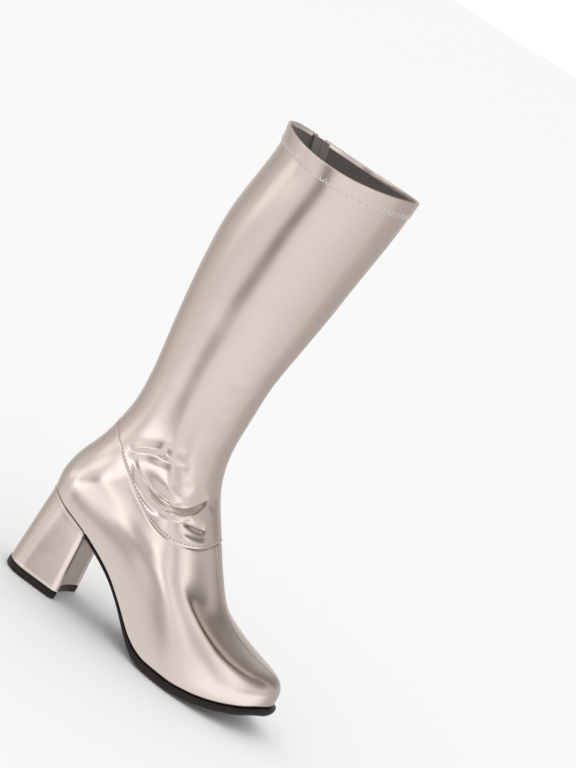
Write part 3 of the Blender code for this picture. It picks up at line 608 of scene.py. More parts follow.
class Shader:
    """A node material under construction."""

    def __init__(self, name):
        self.material = bpy.data.materials.new(name)
        self.material.use_nodes = True
        self.tree = self.material.node_tree
        self.bsdf = self.tree.nodes["Principled BSDF"]

    def new(self, kind):
        return self.tree.nodes.new("ShaderNode" + kind)

    def add(self, kind, out=0, **inputs):
        """Adds a node. Keys with a capital are its input sockets, with _ for a space or as I and a number.
        Other keys are its settings."""
        node = self.new(kind)
        for key, value in inputs.items():
            if key[0].islower():
                setattr(node, key, value)
        for key, value in inputs.items():
            if key[1:].isdigit():
                self.put(node.inputs[int(key[1:])], value)
            elif not key[0].islower():
                self.put(node.inputs[key.replace("_", " ")], value)
        return node.outputs[out]

    def put(self, socket, value):
        if isinstance(value, bpy.types.NodeSocket):
            self.tree.links.new(value, socket)
        else:
            socket.default_value = value

    def set(self, **inputs):
        for key, value in inputs.items():
            self.put(self.bsdf.inputs[key.replace("_", " ")], value)

    def split(self, vector):
        """The three parts of a vector."""
        node = self.new("SeparateXYZ")
        self.put(node.inputs[0], vector)
        return node.outputs

    def mix(self, share, first, second):
        return self.add("Mix", out=2, data_type="RGBA", I0=share, I6=first, I7=second)

    def between(self, value, low, high, to_low, to_high, kind="LINEAR"):
        return self.add(
            "MapRange", Value=value, From_Min=low, From_Max=high, To_Min=to_low, To_Max=to_high,
            interpolation_type=kind,
        )

    def fade(self, value, low, high, to_low, to_high):
        return self.between(value, low, high, to_low, to_high, "SMOOTHSTEP")

    def maths(self, operation, first, second=0.0):
        return self.add("Math", operation=operation, I0=first, I1=second)


def colour(tint, level=1.0):
    return (*(level * c for c in tint), 1.0)


# Kinds of material. mottle, grain: scale, detail and roughness of the noise that changes the look and of the
# one that makes the bump. shades: darkest and lightest share of the tint. rough: least and most roughness,
# beside the material's own. bump: its depth in metres and its strength.
FOIL_KIND = {
    "mottle": (38.0, 3.0, 0.5), "grain": (1400.0, 2.0, 0.6), "shades": (0.955, 1.0), "rough": (-0.03, 0.04),
    "bump": (0.00002, 0.3), "looks": {"Metallic": 1.0, "Coat_Weight": 0.25, "Coat_Roughness": 0.12},
}
RUBBER_KIND = {
    "mottle": (90.0, 4.0, 0.5), "grain": (1800.0, 3.0, 0.5), "shades": (0.7, 1.25), "rough": (-0.06, 0.08),
    "bump": (0.00006, 0.4), "looks": {},
}
METAL_KIND = {
    "mottle": (300.0, 3.0, 0.5), "grain": (2500.0, 2.0, 0.5), "shades": (0.8, 1.0), "rough": (-0.05, 0.08),
    "bump": (0.00002, 0.3), "looks": {"Metallic": 1.0},
}


def plain_material(name, kind, tint, rough, gloss=0.5):
    shader = Shader(name)
    place = shader.add("TexCoord", out=3)
    mottle, grain = (
        shader.add("TexNoise", Vector=place, Scale=scale, Detail=detail, Roughness=roughness)
        for scale, detail, roughness in (kind["mottle"], kind["grain"])
    )
    depth, strength = kind["bump"]
    shader.set(
        Base_Color=shader.mix(mottle, *(colour(tint, shade) for shade in kind["shades"])),
        Roughness=shader.between(mottle, 0.3, 0.7, *(rough + step for step in kind["rough"])),
        Normal=shader.add("Bump", Height=grain, Distance=depth, Strength=strength),
        Specular_IOR_Level=gloss,
        **kind["looks"],
    )
    return shader.material


def cloth_material(name, tint, pitch):
    """A plain weave, whose ribs run along the piece's own metres, with painted shade in its hollows."""
    shader = Shader(name)
    place = shader.split(shader.add("UVMap", uv_map="metres"))
    turn = 2 * math.pi / pitch
    warp, weft = (shader.maths("SINE", shader.maths("MULTIPLY", place[axis], turn)) for axis in range(2))
    weave = shader.maths("MULTIPLY", warp, weft)
    cloud = shader.add("TexNoise", Vector=shader.add("TexCoord", out=3), Scale=120.0, Detail=5.0)
    # The colour darkens where the weave lies low, which is painted shade in its hollows, over a random cloud
    # of tone.
    share = shader.maths("ADD", shader.between(weave, -1, 1, 0.1, 0.6), shader.maths("MULTIPLY", cloud, 0.5))
    shader.set(
        Base_Color=shader.mix(share, colour(tint, 0.55), colour(tint)),
        Roughness=0.85,
        Normal=shader.add("Bump", Height=weave, Distance=0.00012, Strength=0.6),
        Sheen_Weight=0.3,
    )
    return shader.material


FOIL_TINT = (0.80, 0.737, 0.705)
FOIL = plain_material("silver_foil_upper", FOIL_KIND, FOIL_TINT, 0.20)
HEEL_FOIL = plain_material("silver_foil_heel", FOIL_KIND, FOIL_TINT, 0.24)
# The breast's foil: the heel's foil with a darker tint, which is painted shade on the heel's breast.
SHADED_BREAST_FOIL = plain_material("silver_foil_breast_painted_shade", FOIL_KIND, (0.56, 0.50, 0.49), 0.42)
SOLE_RUBBER = plain_material("sole_rubber", RUBBER_KIND, (0.014, 0.011, 0.009), 0.38, 0.3)
LIFT_RUBBER = plain_material("lift_rubber", RUBBER_KIND, (0.011, 0.009, 0.007), 0.42, 0.3)
SOCK = plain_material("sock_cloth", RUBBER_KIND, (0.40, 0.36, 0.31), 0.85, 0.2)
NYLON = plain_material("zip_nylon", RUBBER_KIND, (0.30, 0.27, 0.245), 0.4)
METAL = plain_material("zip_metal", METAL_KIND, (0.86, 0.85, 0.83), 0.17)
THREAD = plain_material("thread", RUBBER_KIND, (0.30, 0.26, 0.23), 0.6, 0.4)
HEM_THREAD = plain_material("hem_thread", RUBBER_KIND, (0.66, 0.62, 0.59), 0.5, 0.4)
LINING = cloth_material("lining_cloth", (0.16, 0.14, 0.125), 0.0011)
TAPE = cloth_material("zip_tape_cloth", (0.27, 0.24, 0.215), 0.0009)


# Camera: the angle of the photo to the near boot, with its roll. The slide is in metres to its right and up.
AZIMUTH = math.radians(11.67)
ELEVATION = math.radians(10.24)
ROLL = math.radians(32.50)
CAMERA_DISTANCE = 2.0
CAMERA_TARGET = Vector((0.0365, 0.0, 0.200))
CAMERA_SLIDE = (0.06565, 0.00877)
FOCAL_LENGTH = 119.5


def make_camera():
    back = Vector((
        math.sin(AZIMUTH) * math.cos(ELEVATION),
        -math.cos(AZIMUTH) * math.cos(ELEVATION),
        math.sin(ELEVATION),
    ))
    level = Vector((math.cos(AZIMUTH), math.sin(AZIMUTH), 0.0))
    above = back.cross(level)
    right = math.cos(ROLL) * level + math.sin(ROLL) * above
    up = -math.sin(ROLL) * level + math.cos(ROLL) * above
    data = bpy.data.cameras.new("camera")
    data.lens = FOCAL_LENGTH
    camera = bpy.data.objects.new("camera", data)
    place = CAMERA_TARGET + CAMERA_DISTANCE * back + CAMERA_SLIDE[0] * right + CAMERA_SLIDE[1] * up
    camera.matrix_world = Matrix((right, up, back)).transposed().to_4x4()
    camera.matrix_world.translation = place
    bpy.context.scene.collection.objects.link(camera)
    bpy.context.scene.camera = camera


FLOOR_HALF = 30.0
FLOOR_GREYS = (0.905, 0.915)


def make_floor():
    """White paper under the boot, which the foil doesn't mirror: the world stands in for it there."""
    sides = (-FLOOR_HALF, FLOOR_HALF)
    mesh = grid_mesh("floor", np.array([[(x, y, 0.0) for x in sides] for y in sides]))
    shader = Shader("floor_paper")
    cloud = shader.add("TexNoise", Vector=shader.add("TexCoord", out=3), Scale=1.5, Detail=2.0)
    shader.set(Base_Color=shader.mix(cloud, *(colour((grey,) * 3) for grey in FLOOR_GREYS)), Roughness=0.9)
    floor = new_object("floor", mesh, shader.material)
    floor.visible_glossy = False


# The studio round the boot, as the foil mirrors it. The ring: azimuth in degrees, 0 towards +X and 90 towards
# +Y, and how bright the studio is there at the height of the boot.
RING_ROWS = table(
    "azimuth level",
    (-180, 0.68), (-160, 0.74), (-145, 0.80), (-130, 0.84), (-115, 0.84), (-92, 0.90), (-75, 0.94),
    (-55, 0.90), (-30, 0.82), (0, 0.72), (20, 0.57), (38, 0.52), (60, 0.50), (80, 0.55), (100, 0.72),
    (125, 0.66), (140, 0.56), (155, 0.52), (170, 0.60), (180, 0.68),
)
# Softboxes above and beside the ring. core, reach: half widths in degrees of the even part and of the whole.
# level: how much brighter than the ring, or darker if negative.
LOBE_ROWS = table(
    "azimuth elevation core reach level",
    (-160.0, -3.0, 4.0, 14.0, 0.35),
    (-101.0, 6.0, 4.0, 13.0, 0.16),
    (-138.0, 5.0, 5.0, 14.0, 0.45),
    (-70.0, 14.0, 8.0, 26.0, -0.22),
    (74.0, 38.0, 8.0, 36.0, -0.26),
    (10.0, 64.0, 3.0, 14.0, 0.45),
    (-113.0, 40.0, 8.0, 22.0, 0.60),
    (-50.0, 22.0, 8.0, 24.0, 0.28),
    (-10.0, 54.0, 10.0, 30.0, -0.45),
)
# Where the ring fades into the floor below it and into the top above it, as heights of a unit direction.
FLOOR_FADE = (-0.60, -0.38)
TOP_FADE = (0.70, 0.95)
TOP_LEVEL = 0.45
FLOOR_LEVEL = 0.84
PAPER_LEVEL = 1.06
STUDIO_TINT = (1.0, 0.955, 0.925)
DARK_TINT = (1.0, 0.88, 0.77)


def make_world():
    """White all round, and the studio for what the foil mirrors."""
    world = bpy.data.worlds.new("studio")
    bpy.context.scene.world = world
    world.use_nodes = True
    world.node_tree.nodes.clear()
    shader = Shader.__new__(Shader)
    shader.tree = world.node_tree
    way = shader.add("VectorMath", operation="NORMALIZE", I0=shader.add("TexCoord", out=0))
    x, y, z = shader.split(way)
    azimuth = shader.maths("ARCTAN2", y, x)
    ring_node = shader.new("ValToRGB")
    shader.put(ring_node.inputs[0], shader.between(azimuth, -math.pi, math.pi, 0.0, 1.0))
    ring = ring_node.color_ramp
    ring.interpolation = "EASE"
    for i, row in enumerate(RING_ROWS):
        place = (row["azimuth"] + 180) / 360
        stop = ring.elements[i] if i < 2 else ring.elements.new(place)
        stop.position = place
        share = min(row["level"], 1.0)
        tint = [dark + (light - dark) * share for dark, light in zip(DARK_TINT, STUDIO_TINT)]
        stop.color = colour(tint, row["level"])
    low = shader.fade(z, *FLOOR_FADE, 1.0, 0.0)
    high = shader.fade(z, *TOP_FADE, 0.0, 1.0)
    total = shader.mix(low, ring_node.outputs[0], colour(STUDIO_TINT, FLOOR_LEVEL))
    total = shader.mix(high, total, colour(DARK_TINT, TOP_LEVEL))
    for row in LOBE_ROWS:
        turn, climb, core, reach = (math.radians(row[n]) for n in ("azimuth", "elevation", "core", "reach"))
        aim = (math.cos(climb) * math.cos(turn), math.cos(climb) * math.sin(turn), math.sin(climb))
        cosine = shader.add("VectorMath", operation="DOT_PRODUCT", out=1, I0=way, I1=aim)
        share = shader.fade(cosine, math.cos(reach), math.cos(core), 0.0, row["level"])
        scaled = shader.add("VectorMath", operation="SCALE", I0=STUDIO_TINT, Scale=share)
        total = shader.add("VectorMath", operation="ADD", I0=total, I1=scaled)
    light = shader.add("Background", Color=total)
    seen = shader.add("Background", Color=colour((PAPER_LEVEL,) * 3))
    glossy = shader.new("LightPath").outputs["Is Glossy Ray"]
    mixed = shader.add("MixShader", I0=glossy, I1=seen, I2=light)
    shader.put(shader.new("OutputWorld").inputs[0], mixed)


# Curved cards round the boot, which only its gloss sees. azimuth, half_turn: a card's middle and half width
# in degrees. low, high: metres above the floor. side: the soft share of half_turn. edge: the soft metres
# above and below. level: how bright. share: how much it hides.
CARD_MIDDLE = 0.0365
CARD_POINTS = 13
CARD_ROWS = table(
    "radius azimuth half_turn low high side edge level share",
    (0.450, -104.5, 12.0, 0.090, 0.700, 0.85, 0.050, 0.28, 0.95),
    (0.454, -107.0, 14.0, 0.058, 0.160, 0.90, 0.036, 0.30, 0.80),
    (0.458, -121.0, 23.0, -0.060, 0.064, 0.45, 0.030, 1.60, 1.00),
    (0.462, -115.0, 18.0, -0.180, -0.038, 0.60, 0.050, 0.30, 0.75),
    (0.466, -35.0, 52.0, -0.150, 0.075, 0.55, 0.050, 1.25, 0.90),
)


def card_material(name, row):
    """Light or shade that is soft towards the card's edges and clear beyond them."""
    low, high, edge, level = row["low"], row["high"], row["edge"], row["level"]
    shader = Shader(name)
    shader.tree.nodes.remove(shader.bsdf)
    across, height, _ = shader.split(shader.add("UVMap", uv_map="metres"))
    mask = shader.fade(shader.maths("ABSOLUTE", across), 1 - row["side"], 1.0, row["share"], 0.0)
    lower = shader.fade(height, low, low + edge, 0.0, 1.0)
    upper = shader.fade(height, high - edge, high, 1.0, 0.0)
    mask = shader.maths("MULTIPLY", mask, shader.maths("MULTIPLY", lower, upper))
    glow = shader.add("Emission", Color=colour(STUDIO_TINT if level > 0.5 else DARK_TINT, level))
    mixed = shader.add("MixShader", I0=mask, I1=shader.add("BsdfTransparent"), I2=glow)
    shader.put(shader.tree.nodes["Material Output"].inputs[0], mixed)
    return shader.material


def make_cards():
    shares = np.linspace(-1, 1, CARD_POINTS)
    for i, row in enumerate(CARD_ROWS):
        radius = row["radius"]
        turns = np.radians(row["azimuth"] + row["half_turn"] * shares)
        heights = (row["low"], row["high"])
        rows = np.array([[(radius * math.cos(t), radius * math.sin(t), z) for t in turns] for z in heights])
        uv = np.array([[(share, z) for share in shares] for z in heights])
        mesh = grid_mesh(f"card_{i}", rows, uv=uv)
        card = new_object(f"card_{i}", mesh, card_material(f"card_{i}", row))
        card.location.x = CARD_MIDDLE
        card.visible_camera = False
        card.visible_diffuse = False
        card.visible_shadow = False
        card.visible_transmission = False


# How many even columns the skins have along the back, the outer side and the front.
FOOT_GRID = (26, 130, 78)
LEG_GRID = (36, 190, 60)
LINING_GRID = (10, 44, 26)
# Rows beside the curved seam and beside the hem's edge, in metres from them.
SEAM_STEPS = np.array([0.0, 0.15, 0.3, 0.45, 0.65, 0.9, 1.3, 1.9, 2.8, 4.0]) * MM
HEM_STEPS = np.array([-1.2, -0.6, -0.3, 0.0, 0.3, 0.6, 1.2, 2.4]) * MM
# The other rows of the foot, of the leg up to the hem, of the hem and of the lining.
FOOT_EVEN = 116
LEG_EVEN = 200
HEM_EVEN = 9
# Where the even rows under the hem's edge end and those over it start, in metres from it. How even the rows
# under it are: 1 is quite even, and less crowds them towards the seam.
HEM_CLEAR = (-0.002, 0.0036)
LEG_EVENNESS = 0.45
LINING_EVEN = 170
# The foot's lower edge: degrees up its round. The one below 0 stands for a row that lies in under the foot.
FEATHER_ANGLES = (-1.0, 0.0, 18.0, 36.0, 54.0, 72.0)
FEATHER_MARGIN = 4 * FEATHER_RADIUS
RIM_DROPS = (0.0012, 0.0028)
LINING_START = 0.003
LINING_DROP = 0.0014
LINING_GAP = 0.0001


def make_foot():
    """The foot part of the upper, from the sole to the curved seam."""
    seam = seam_at_columns(FOOT_GRID)
    start = FEATHER_RADIUS
    even = np.linspace(0, 1, FOOT_EVEN)[1:, None]
    heights = np.concatenate([
        [np.full_like(seam, start)],
        start + (seam - SEAM_STEPS[-1] - start) * even,
        seam - SEAM_STEPS[-2::-1, None],
    ])
    turns = own_turns(heights, FOOT_GRID)
    rows = skin(heights, turns, edge_depth(heights))
    out, _ = directions(np.full_like(seam, start), turns[0])
    plan = unit(out * (1, 1, 0))
    lower = []
    for angle in np.radians(FEATHER_ANGLES):
        inset = FEATHER_RADIUS * (1 - math.sin(angle)) if angle >= 0 else FEATHER_MARGIN
        rise = FEATHER_RADIUS * (1 - math.cos(max(angle, 0)))
        place = surface(rise, turns[0]) - plan * inset
        if angle <= 0:
            place[:, 2] = feather(place[:, 0] + HEEL_CENTRE)
        lower.append(place)
    mesh = grid_mesh("foot_skin", np.concatenate([lower, rows]))
    weld(mesh)
    new_piece("upper_foot", mesh, FOIL, "silver_foil", replaces="upper")


def make_leg():
    """The shaft of the upper, from the curved seam to the collar's rolled edge and down its inner face."""
    seam = seam_at_columns(LEG_GRID)
    top = SHAFT_HEIGHT - RIM_RADIUS
    start = seam + SEAM_STEPS[-1]
    even = np.linspace(0, 1, LEG_EVEN)[1:, None]
    even = even * (LEG_EVENNESS + (1 - LEG_EVENNESS) * even)
    hem = np.concatenate([HEM_LOW + HEM_STEPS, np.linspace(HEM_LOW + HEM_CLEAR[1], top, HEM_EVEN)])
    heights = np.concatenate([
        seam + SEAM_STEPS[:, None],
        start + (HEM_LOW + HEM_CLEAR[0] - start) * even,
        hem[:, None] + np.zeros_like(seam),
    ])
    turns = own_turns(heights, LEG_GRID)
    rows = skin(heights, turns, edge_depth(heights))
    out, up = directions(np.full_like(seam, top), turns[-1])
    rim = []
    for angle in np.radians(np.arange(15, 181, 15)):
        rim.append(rows[-1] + RIM_RADIUS * (out * (math.cos(angle) - 1) + up * math.sin(angle)))
    for drop in RIM_DROPS:
        rim.append(skin(np.full_like(seam, top - drop), turns_at(top - drop, *LEG_GRID), 2 * RIM_RADIUS))
    mesh = grid_mesh("leg_skin", np.concatenate([rows, rim]))
    weld(mesh)
    new_piece("upper_leg", mesh, FOIL, "silver_foil", replaces="upper")


def make_lining():
    """The cloth that lines the upper, from the insole to just under the collar's rolled edge."""
    top = SHAFT_HEIGHT - RIM_RADIUS - LINING_DROP
    levels = np.linspace(LINING_START, top, LINING_EVEN)
    turns = turns_at(levels, *LINING_GRID)
    heights = np.broadcast_to(levels[:, None], turns.shape)
    depth = np.maximum(WALL, edge_depth(heights) + LINING_GAP)
    rows = skin(heights, turns, depth)
    across = np.cumsum(np.linalg.norm(np.diff(rows, axis=1, prepend=rows[:, :1]), axis=-1), axis=1)
    uv = np.stack([across, heights], axis=-1)
    mesh = grid_mesh("lining", rows[::-1], uv=uv[::-1])
    weld(mesh)
    new_piece("upper_lining", mesh, LINING, "silver_foil", replaces="upper")


def spread(loop, distance):
    """A closed loop moved outwards in plan by a distance, or by one for each point."""
    moved = np.array(loop, float)
    ahead, behind = np.roll(moved, -1, axis=0), np.roll(moved, 1, axis=0)
    outward = unit(np.stack([(ahead - behind)[:, 1], -(ahead - behind)[:, 0]], axis=1))
    area = np.sum(moved[:, 0] * ahead[:, 1] - ahead[:, 0] * moved[:, 1])
    moved[:, :2] += outward * np.sign(area) * np.broadcast_to(distance, len(moved))[:, None]
    return moved


# The sole's edge from below: share of SOLE_RIM that it stands out, or in if negative, and share of its
# thickness.
SOLE_EDGE = (
    (-0.75, 0.0), (-0.50, 0.045), (-0.24, 0.13), (-0.08, 0.24), (0.0, 0.38), (0.0, 0.60), (-0.02, 0.66),
    (-0.12, 0.685), (-0.12, 0.715), (-0.03, 0.745), (-0.06, 0.82), (-0.18, 0.92), (-0.45, 1.0),
)
SOLE_STATIONS = 90
TREAD_COLUMNS = 30
TREAD_PITCH = 0.0042
TREAD_DEPTH = 0.0005
TREAD_FLAT = 4
OVER_COLUMNS = 8
# The stations follow a quarter of a sine, to this power, so that they crowd towards the toe.
STATION_POWER = 0.9
# Where the ribs start, in metres from the heel's back, and where they end, in metres from the toe. The share
# of the sole's width over which they rise beside its edge.
TREAD_START = (0.150, 0.156)
TREAD_END = (0.012, 0.018)
TREAD_SIDE = (0.04, 0.10)


def make_sole():
    """The outsole: its bevelled edge with a lip round the top, and shallow ribs under the ball."""
    start = SEAT_LENGTH + GAP
    turns = np.linspace(0, 1, 600)
    share = np.linspace(0, 1, SOLE_STATIONS)
    sides = []
    for sign in (-1, 1):
        line = surface(0.0, sign * turns)[::-1]
        place = line[:, 0] + HEEL_CENTRE
        stations = start + (place[-1] - start) * np.sin(0.5 * np.pi * share) ** STATION_POWER
        sides.append(np.stack([np.interp(stations, place, line[:, axis]) for axis in range(3)], axis=-1))
    outline = np.concatenate([sides[0], sides[1][-2::-1]])
    along = outline[:, 0] + HEEL_CENTRE
    rim = SOLE_RIM * rim_line(along / BOOT_LENGTH)
    thinness = sole_thickness(along) / FOREPART_THICKNESS
    loops = []
    for step, rise in SOLE_EDGE:
        loop = spread(outline, rim + step * SOLE_RIM * thinness)
        loop[[0, -1], 0] = outline[0, 0]
        x = loop[:, 0] + HEEL_CENTRE
        loop[:, 2] = sole_bottom(x) + rise * (sole_thickness(x) - GAP)
        loops.append(loop)
    loops = np.array(loops)
    outer, inner = loops[:, :SOLE_STATIONS], loops[:, : SOLE_STATIONS - 2 : -1]
    share = np.linspace(0, 1, TREAD_COLUMNS)[1:-1, None]
    under = inner[0] + (outer[0] - inner[0]) * share[..., None]
    rib = np.clip(np.sin(2 * np.pi * under[..., 0] / TREAD_PITCH) * TREAD_FLAT, -1, 1)
    along = under[..., 0] + HEEL_CENTRE
    ribbed = ramp(share, *TREAD_SIDE) * ramp(1 - share, *TREAD_SIDE)
    ribbed = ribbed * ramp(along, *TREAD_START) * ramp(BOOT_LENGTH - along, *TREAD_END)
    under[..., 2] += TREAD_DEPTH * 0.5 * (1 - rib) * ribbed
    over = outer[-1] + (inner[-1] - outer[-1]) * np.linspace(0, 1, OVER_COLUMNS)[1:-1, None, None]
    section = np.concatenate([outer, over, inner[::-1], under])
    mesh = grid_mesh("outsole", np.swapaxes(section, 0, 1), joined=True)
    with editing(mesh) as shape:
        shape.faces.new([shape.verts[i] for i in range(len(section))])
    weld(mesh, 2e-5)
    new_piece("sole_unit", mesh, SOLE_RUBBER, "black_rubber", replaces="outsole")


# The heel's front corners: the steps round them, and how much they are rounded.
CORNER_STEPS = (0.04, 0.12, 0.24, 0.40, 0.60, 0.76, 0.88, 0.96)
CORNER_ROUND = 0.06
FLANK_POINTS = 40
BREAST_POINTS = 15


def heel_plan(back_x, front_x, half_width_at, hollow):
    """A heel outline: round back, straight flanks, chamfered front corners and a hollow breast."""
    reach = 1 - np.cos(np.linspace(0, 1, FLANK_POINTS) * math.pi / 2)
    side = [(x, half_width_at(x)) for x in back_x + (front_x - HEEL_CORNER - back_x) * reach]
    corner_half = side[-1][1]
    for step in CORNER_STEPS:
        soft = CORNER_ROUND * math.sin(math.pi * step)
        side.append((front_x - HEEL_CORNER * (1 - step - soft), corner_half - HEEL_CORNER * (step - soft)))
    breast_half = corner_half - HEEL_CORNER
    for share in np.linspace(1, 0, BREAST_POINTS):
        side.append((front_x - hollow * (1 - share**2), breast_half * share))
    outer = [(x, -y, 0.0) for x, y in side]
    inner = [(x, y, 0.0) for x, y in side[-2:0:-1]]
    return np.array(outer + inner)


def seat_half_width(x):
    back_x, front_x = float(GIRTH["back_x"](0.0)), float(GIRTH["front_x"](0.0))
    share = min(max((x - back_x) / (front_x - back_x), 0.0), 1.0)
    turn = math.acos(2 * share - 1) / math.pi
    inner, outer = surface(0.0, [turn, -turn])
    return float(inner[1] - outer[1]) / 2


def base_half_width(x):
    """The heel's base: a squarish round back and flanks that open a little to the front."""
    behind = min(max(1 - x / (BASE_ROUND * HEEL_BASE_LENGTH), 0.0), 1.0)
    opening = 1 - BASE_OPENING * (1 - x / HEEL_BASE_LENGTH)
    return HEEL_BASE_WIDTH / 2 * opening * (1 - behind**FOOT_SQUARENESS) ** (1 / FOOT_SQUARENESS)


# The heel cover's edges: share of the height, millimetres that the cover stands out there.
COVER_ROWS = (
    (0.0, -0.5), (0.006, -0.1), (0.02, 0.25), (0.035, 0.1), (0.05, 0.0), (0.15, 0.0), (0.3, 0.0),
    (0.45, 0.0), (0.6, 0.0), (0.75, 0.0), (0.88, 0.0), (0.94, 0.0), (0.958, 0.05), (0.972, 0.42),
    (0.985, 0.5), (0.995, 0.3), (1.0, -0.4),
)
# Where the breast ends in a heel outline, in points from the outline's front middle.
BREAST_FADE = (12.2, 13.8)
LIP_FADE = (12.2, 16.0)
BREAST_INSET = 0.0004
PANEL_INSET = 0.35 * BREAST_INSET
PANEL_TUCK = 0.0006
PANEL_WIDTH = 0.985
PANEL_ROWS = 24
PANEL_REACH = (0.004, 0.990)
PANEL_EDGE = 0.92


def from_front(loop):
    """How many points each point of a heel outline lies from its front middle."""
    return np.abs(np.arange(len(loop)) - len(loop) // 2)


def base_loop(lip=0.0):
    loop = heel_plan(0.0, HEEL_BASE_LENGTH, base_half_width, BREAST_HOLLOW)
    loop[:, 0] -= HEEL_CENTRE
    return spread(loop, lip * ramp(from_front(loop), *LIP_FADE))


def closed_mesh(name, rows, uv=None):
    """A joined grid whose first and last loop are each closed with a fan of triangles. The fan's centre is
    halfway between the loop's first point and the opposite one, so that a hollow outline stays open."""
    mesh = grid_mesh(name, rows, joined=True, uv=uv)
    count, width = rows.shape[:2]
    with editing(mesh) as shape:
        for first in (0, (count - 1) * width):
            loop = [shape.verts[first + i] for i in range(width)]
            centre = shape.verts.new((loop[0].co + loop[width // 2].co) / 2)
            for i in range(width):
                shape.faces.new((loop[i], loop[(i + 1) % width], centre))
            shape.verts.ensure_lookup_table()
        bmesh.ops.recalc_face_normals(shape, faces=shape.faces)
    return mesh


def make_heel():
    """The heel block in its foil cover, with a recessed breast panel in darker foil that paints shade on it.
    """
    top = heel_plan(float(GIRTH["back_x"](0.0)), SEAT_LENGTH, seat_half_width, 0.0)
    top[:, 2] = feather(top[:, 0]) - GAP
    top[:, 0] -= HEEL_CENTRE
    base = base_loop()
    base[:, 2] = LIFT_THICKNESS + GAP
    breast = 1.0 - ramp(from_front(base), *BREAST_FADE)
    rows = []
    for share, out in COVER_ROWS:
        loop = spread(base + (top - base) * share, out * MM * (1 - breast))
        loop[:, 0] -= BREAST_INSET * breast
        rows.append(loop)
    mesh = closed_mesh("heel", np.array(rows))
    new_piece("heel_cover", mesh, HEEL_FOIL, "silver_foil", replaces="heel_block")
    on_breast = from_front(base) < BREAST_POINTS - 1
    edge = np.abs(np.linspace(-1, 1, np.count_nonzero(on_breast)))
    panel = []
    for share in np.linspace(*PANEL_REACH, PANEL_ROWS):
        row = (base + (top - base) * share)[on_breast]
        row[:, 1] *= PANEL_WIDTH
        row[:, 0] -= PANEL_INSET + PANEL_TUCK * ramp(edge, PANEL_EDGE, 1.0)
        panel.append(row)
    panel = np.array(panel)
    # The recessed breast panel, in the darker foil that paints shade on the breast.
    mesh = grid_mesh("breast", panel, uv=panel[..., 1:])
    new_piece("heel_breast", mesh, SHADED_BREAST_FOIL, "silver_foil", replaces="heel_block")


# The top lift's edge from below: share of LIFT_LIP, share of LIFT_THICKNESS.
LIFT_EDGE = (
    (-1.2, 0.0), (-0.2, 0.03), (0.6, 0.10), (1.0, 0.2), (1.0, 0.55), (1.0, 0.70), (0.75, 0.74), (0.75, 0.78),
    (0.95, 0.82), (0.9, 0.92), (0.3, 1.0),
)


def make_lift():
    """The rubber top lift under the heel."""
    rows = []
    for lip, rise in LIFT_EDGE:
        loop = base_loop(lip * LIFT_LIP)
        loop[:, 2] = rise * LIFT_THICKNESS
        rows.append(loop)
    mesh = closed_mesh("lift", np.array(rows))
    new_piece("heel_top_lift", mesh, LIFT_RUBBER, "black_rubber", replaces="heel_lift")


# How deep the part of a strip is that ripples, from its outermost points inwards.
RIPPLE_DEPTH = 0.0005


def zip_section(name, heights, section, material, slot, node, ripple=0.0, pitch=1.0):
    """A strip along the zip whose closed section is given as (across, depth) pairs in metres."""
    across, depth = np.array(section).T
    heights = np.asarray(heights)[:, None]
    turns = zip_turn(heights, across)
    out, _ = directions(np.broadcast_to(heights, turns.shape), turns)
    wave = ripple * (0.5 + 0.5 * np.cos(2 * np.pi * heights / pitch))
    raised = depth + wave * (depth < depth.min() + RIPPLE_DEPTH)
    rows = surface(heights, turns) - out * raised[..., None]
    uv = np.stack(np.broadcast_arrays(across, heights), axis=-1)
    new_piece(name, closed_mesh(name, rows, uv), material, slot, replaces=node)


CHAIN_TOP = SHAFT_HEIGHT - SLIDER_DROP - SLIDER_LENGTH / 2 - CHAIN_INSET
# Where a tape has a line of points, in metres from the zip's middle.
TAPE_LINES = (
    GAP / 2, 0.001, 0.002, 0.0028, 0.0034, ZIP_SLOT / 2, ZIP_SLOT / 2 + 0.002, ZIP_SLOT / 2 + TAPE_OVERLAP,
)
COIL_PITCH = 0.00125
COIL_RIPPLE = 0.00016
COIL_HEIGHT = 0.0011
# A coil's middle and half width, as shares of the chain's half width, and how square and round its crown is.
COIL_MIDDLE = 0.52
COIL_HALF = 0.49
COIL_SQUARENESS = 2.4
COIL_CROWN = 0.6
COIL_POINTS = 23
ZIP_POINTS = 240


def make_zip_strips():
    """Both tapes, and the closed chain of two smooth coils with a groove between them."""
    heights = np.linspace(ZIP_FOOT - TAPE_TAIL, SHAFT_HEIGHT - TAPE_TOP, ZIP_POINTS)
    for name, side, node in (("zip_tape_fore", 1, "zip_tape_front"), ("zip_tape_rear", -1, "zip_tape_back")):
        face = [(side * reach, WALL + GAP) for reach in TAPE_LINES]
        back = [(side * reach, WALL + GAP + TAPE_THICKNESS) for reach in TAPE_LINES[::-1]]
        zip_section(name, heights, face + back, TAPE, "zip_tape", node)
    heights = np.arange(ZIP_FOOT + CHAIN_INSET, CHAIN_TOP, COIL_PITCH / 4)
    half = CHAIN_WIDTH / 2
    face = []
    for share in np.linspace(-1, 1, COIL_POINTS):
        off_middle = abs(abs(share) - COIL_MIDDLE)
        crown = max(1 - (off_middle / COIL_HALF) ** COIL_SQUARENESS, 0.0) ** COIL_CROWN
        face.append((share * half, WALL - CHAIN_THICKNESS + COIL_HEIGHT * (1 - crown)))
    section = [(0.0, WALL), (-half, WALL)] + face + [(half, WALL)]
    zip_section("zip_coils", heights, section, NYLON, "zip_nylon", "zip_chain", COIL_RIPPLE, COIL_PITCH)


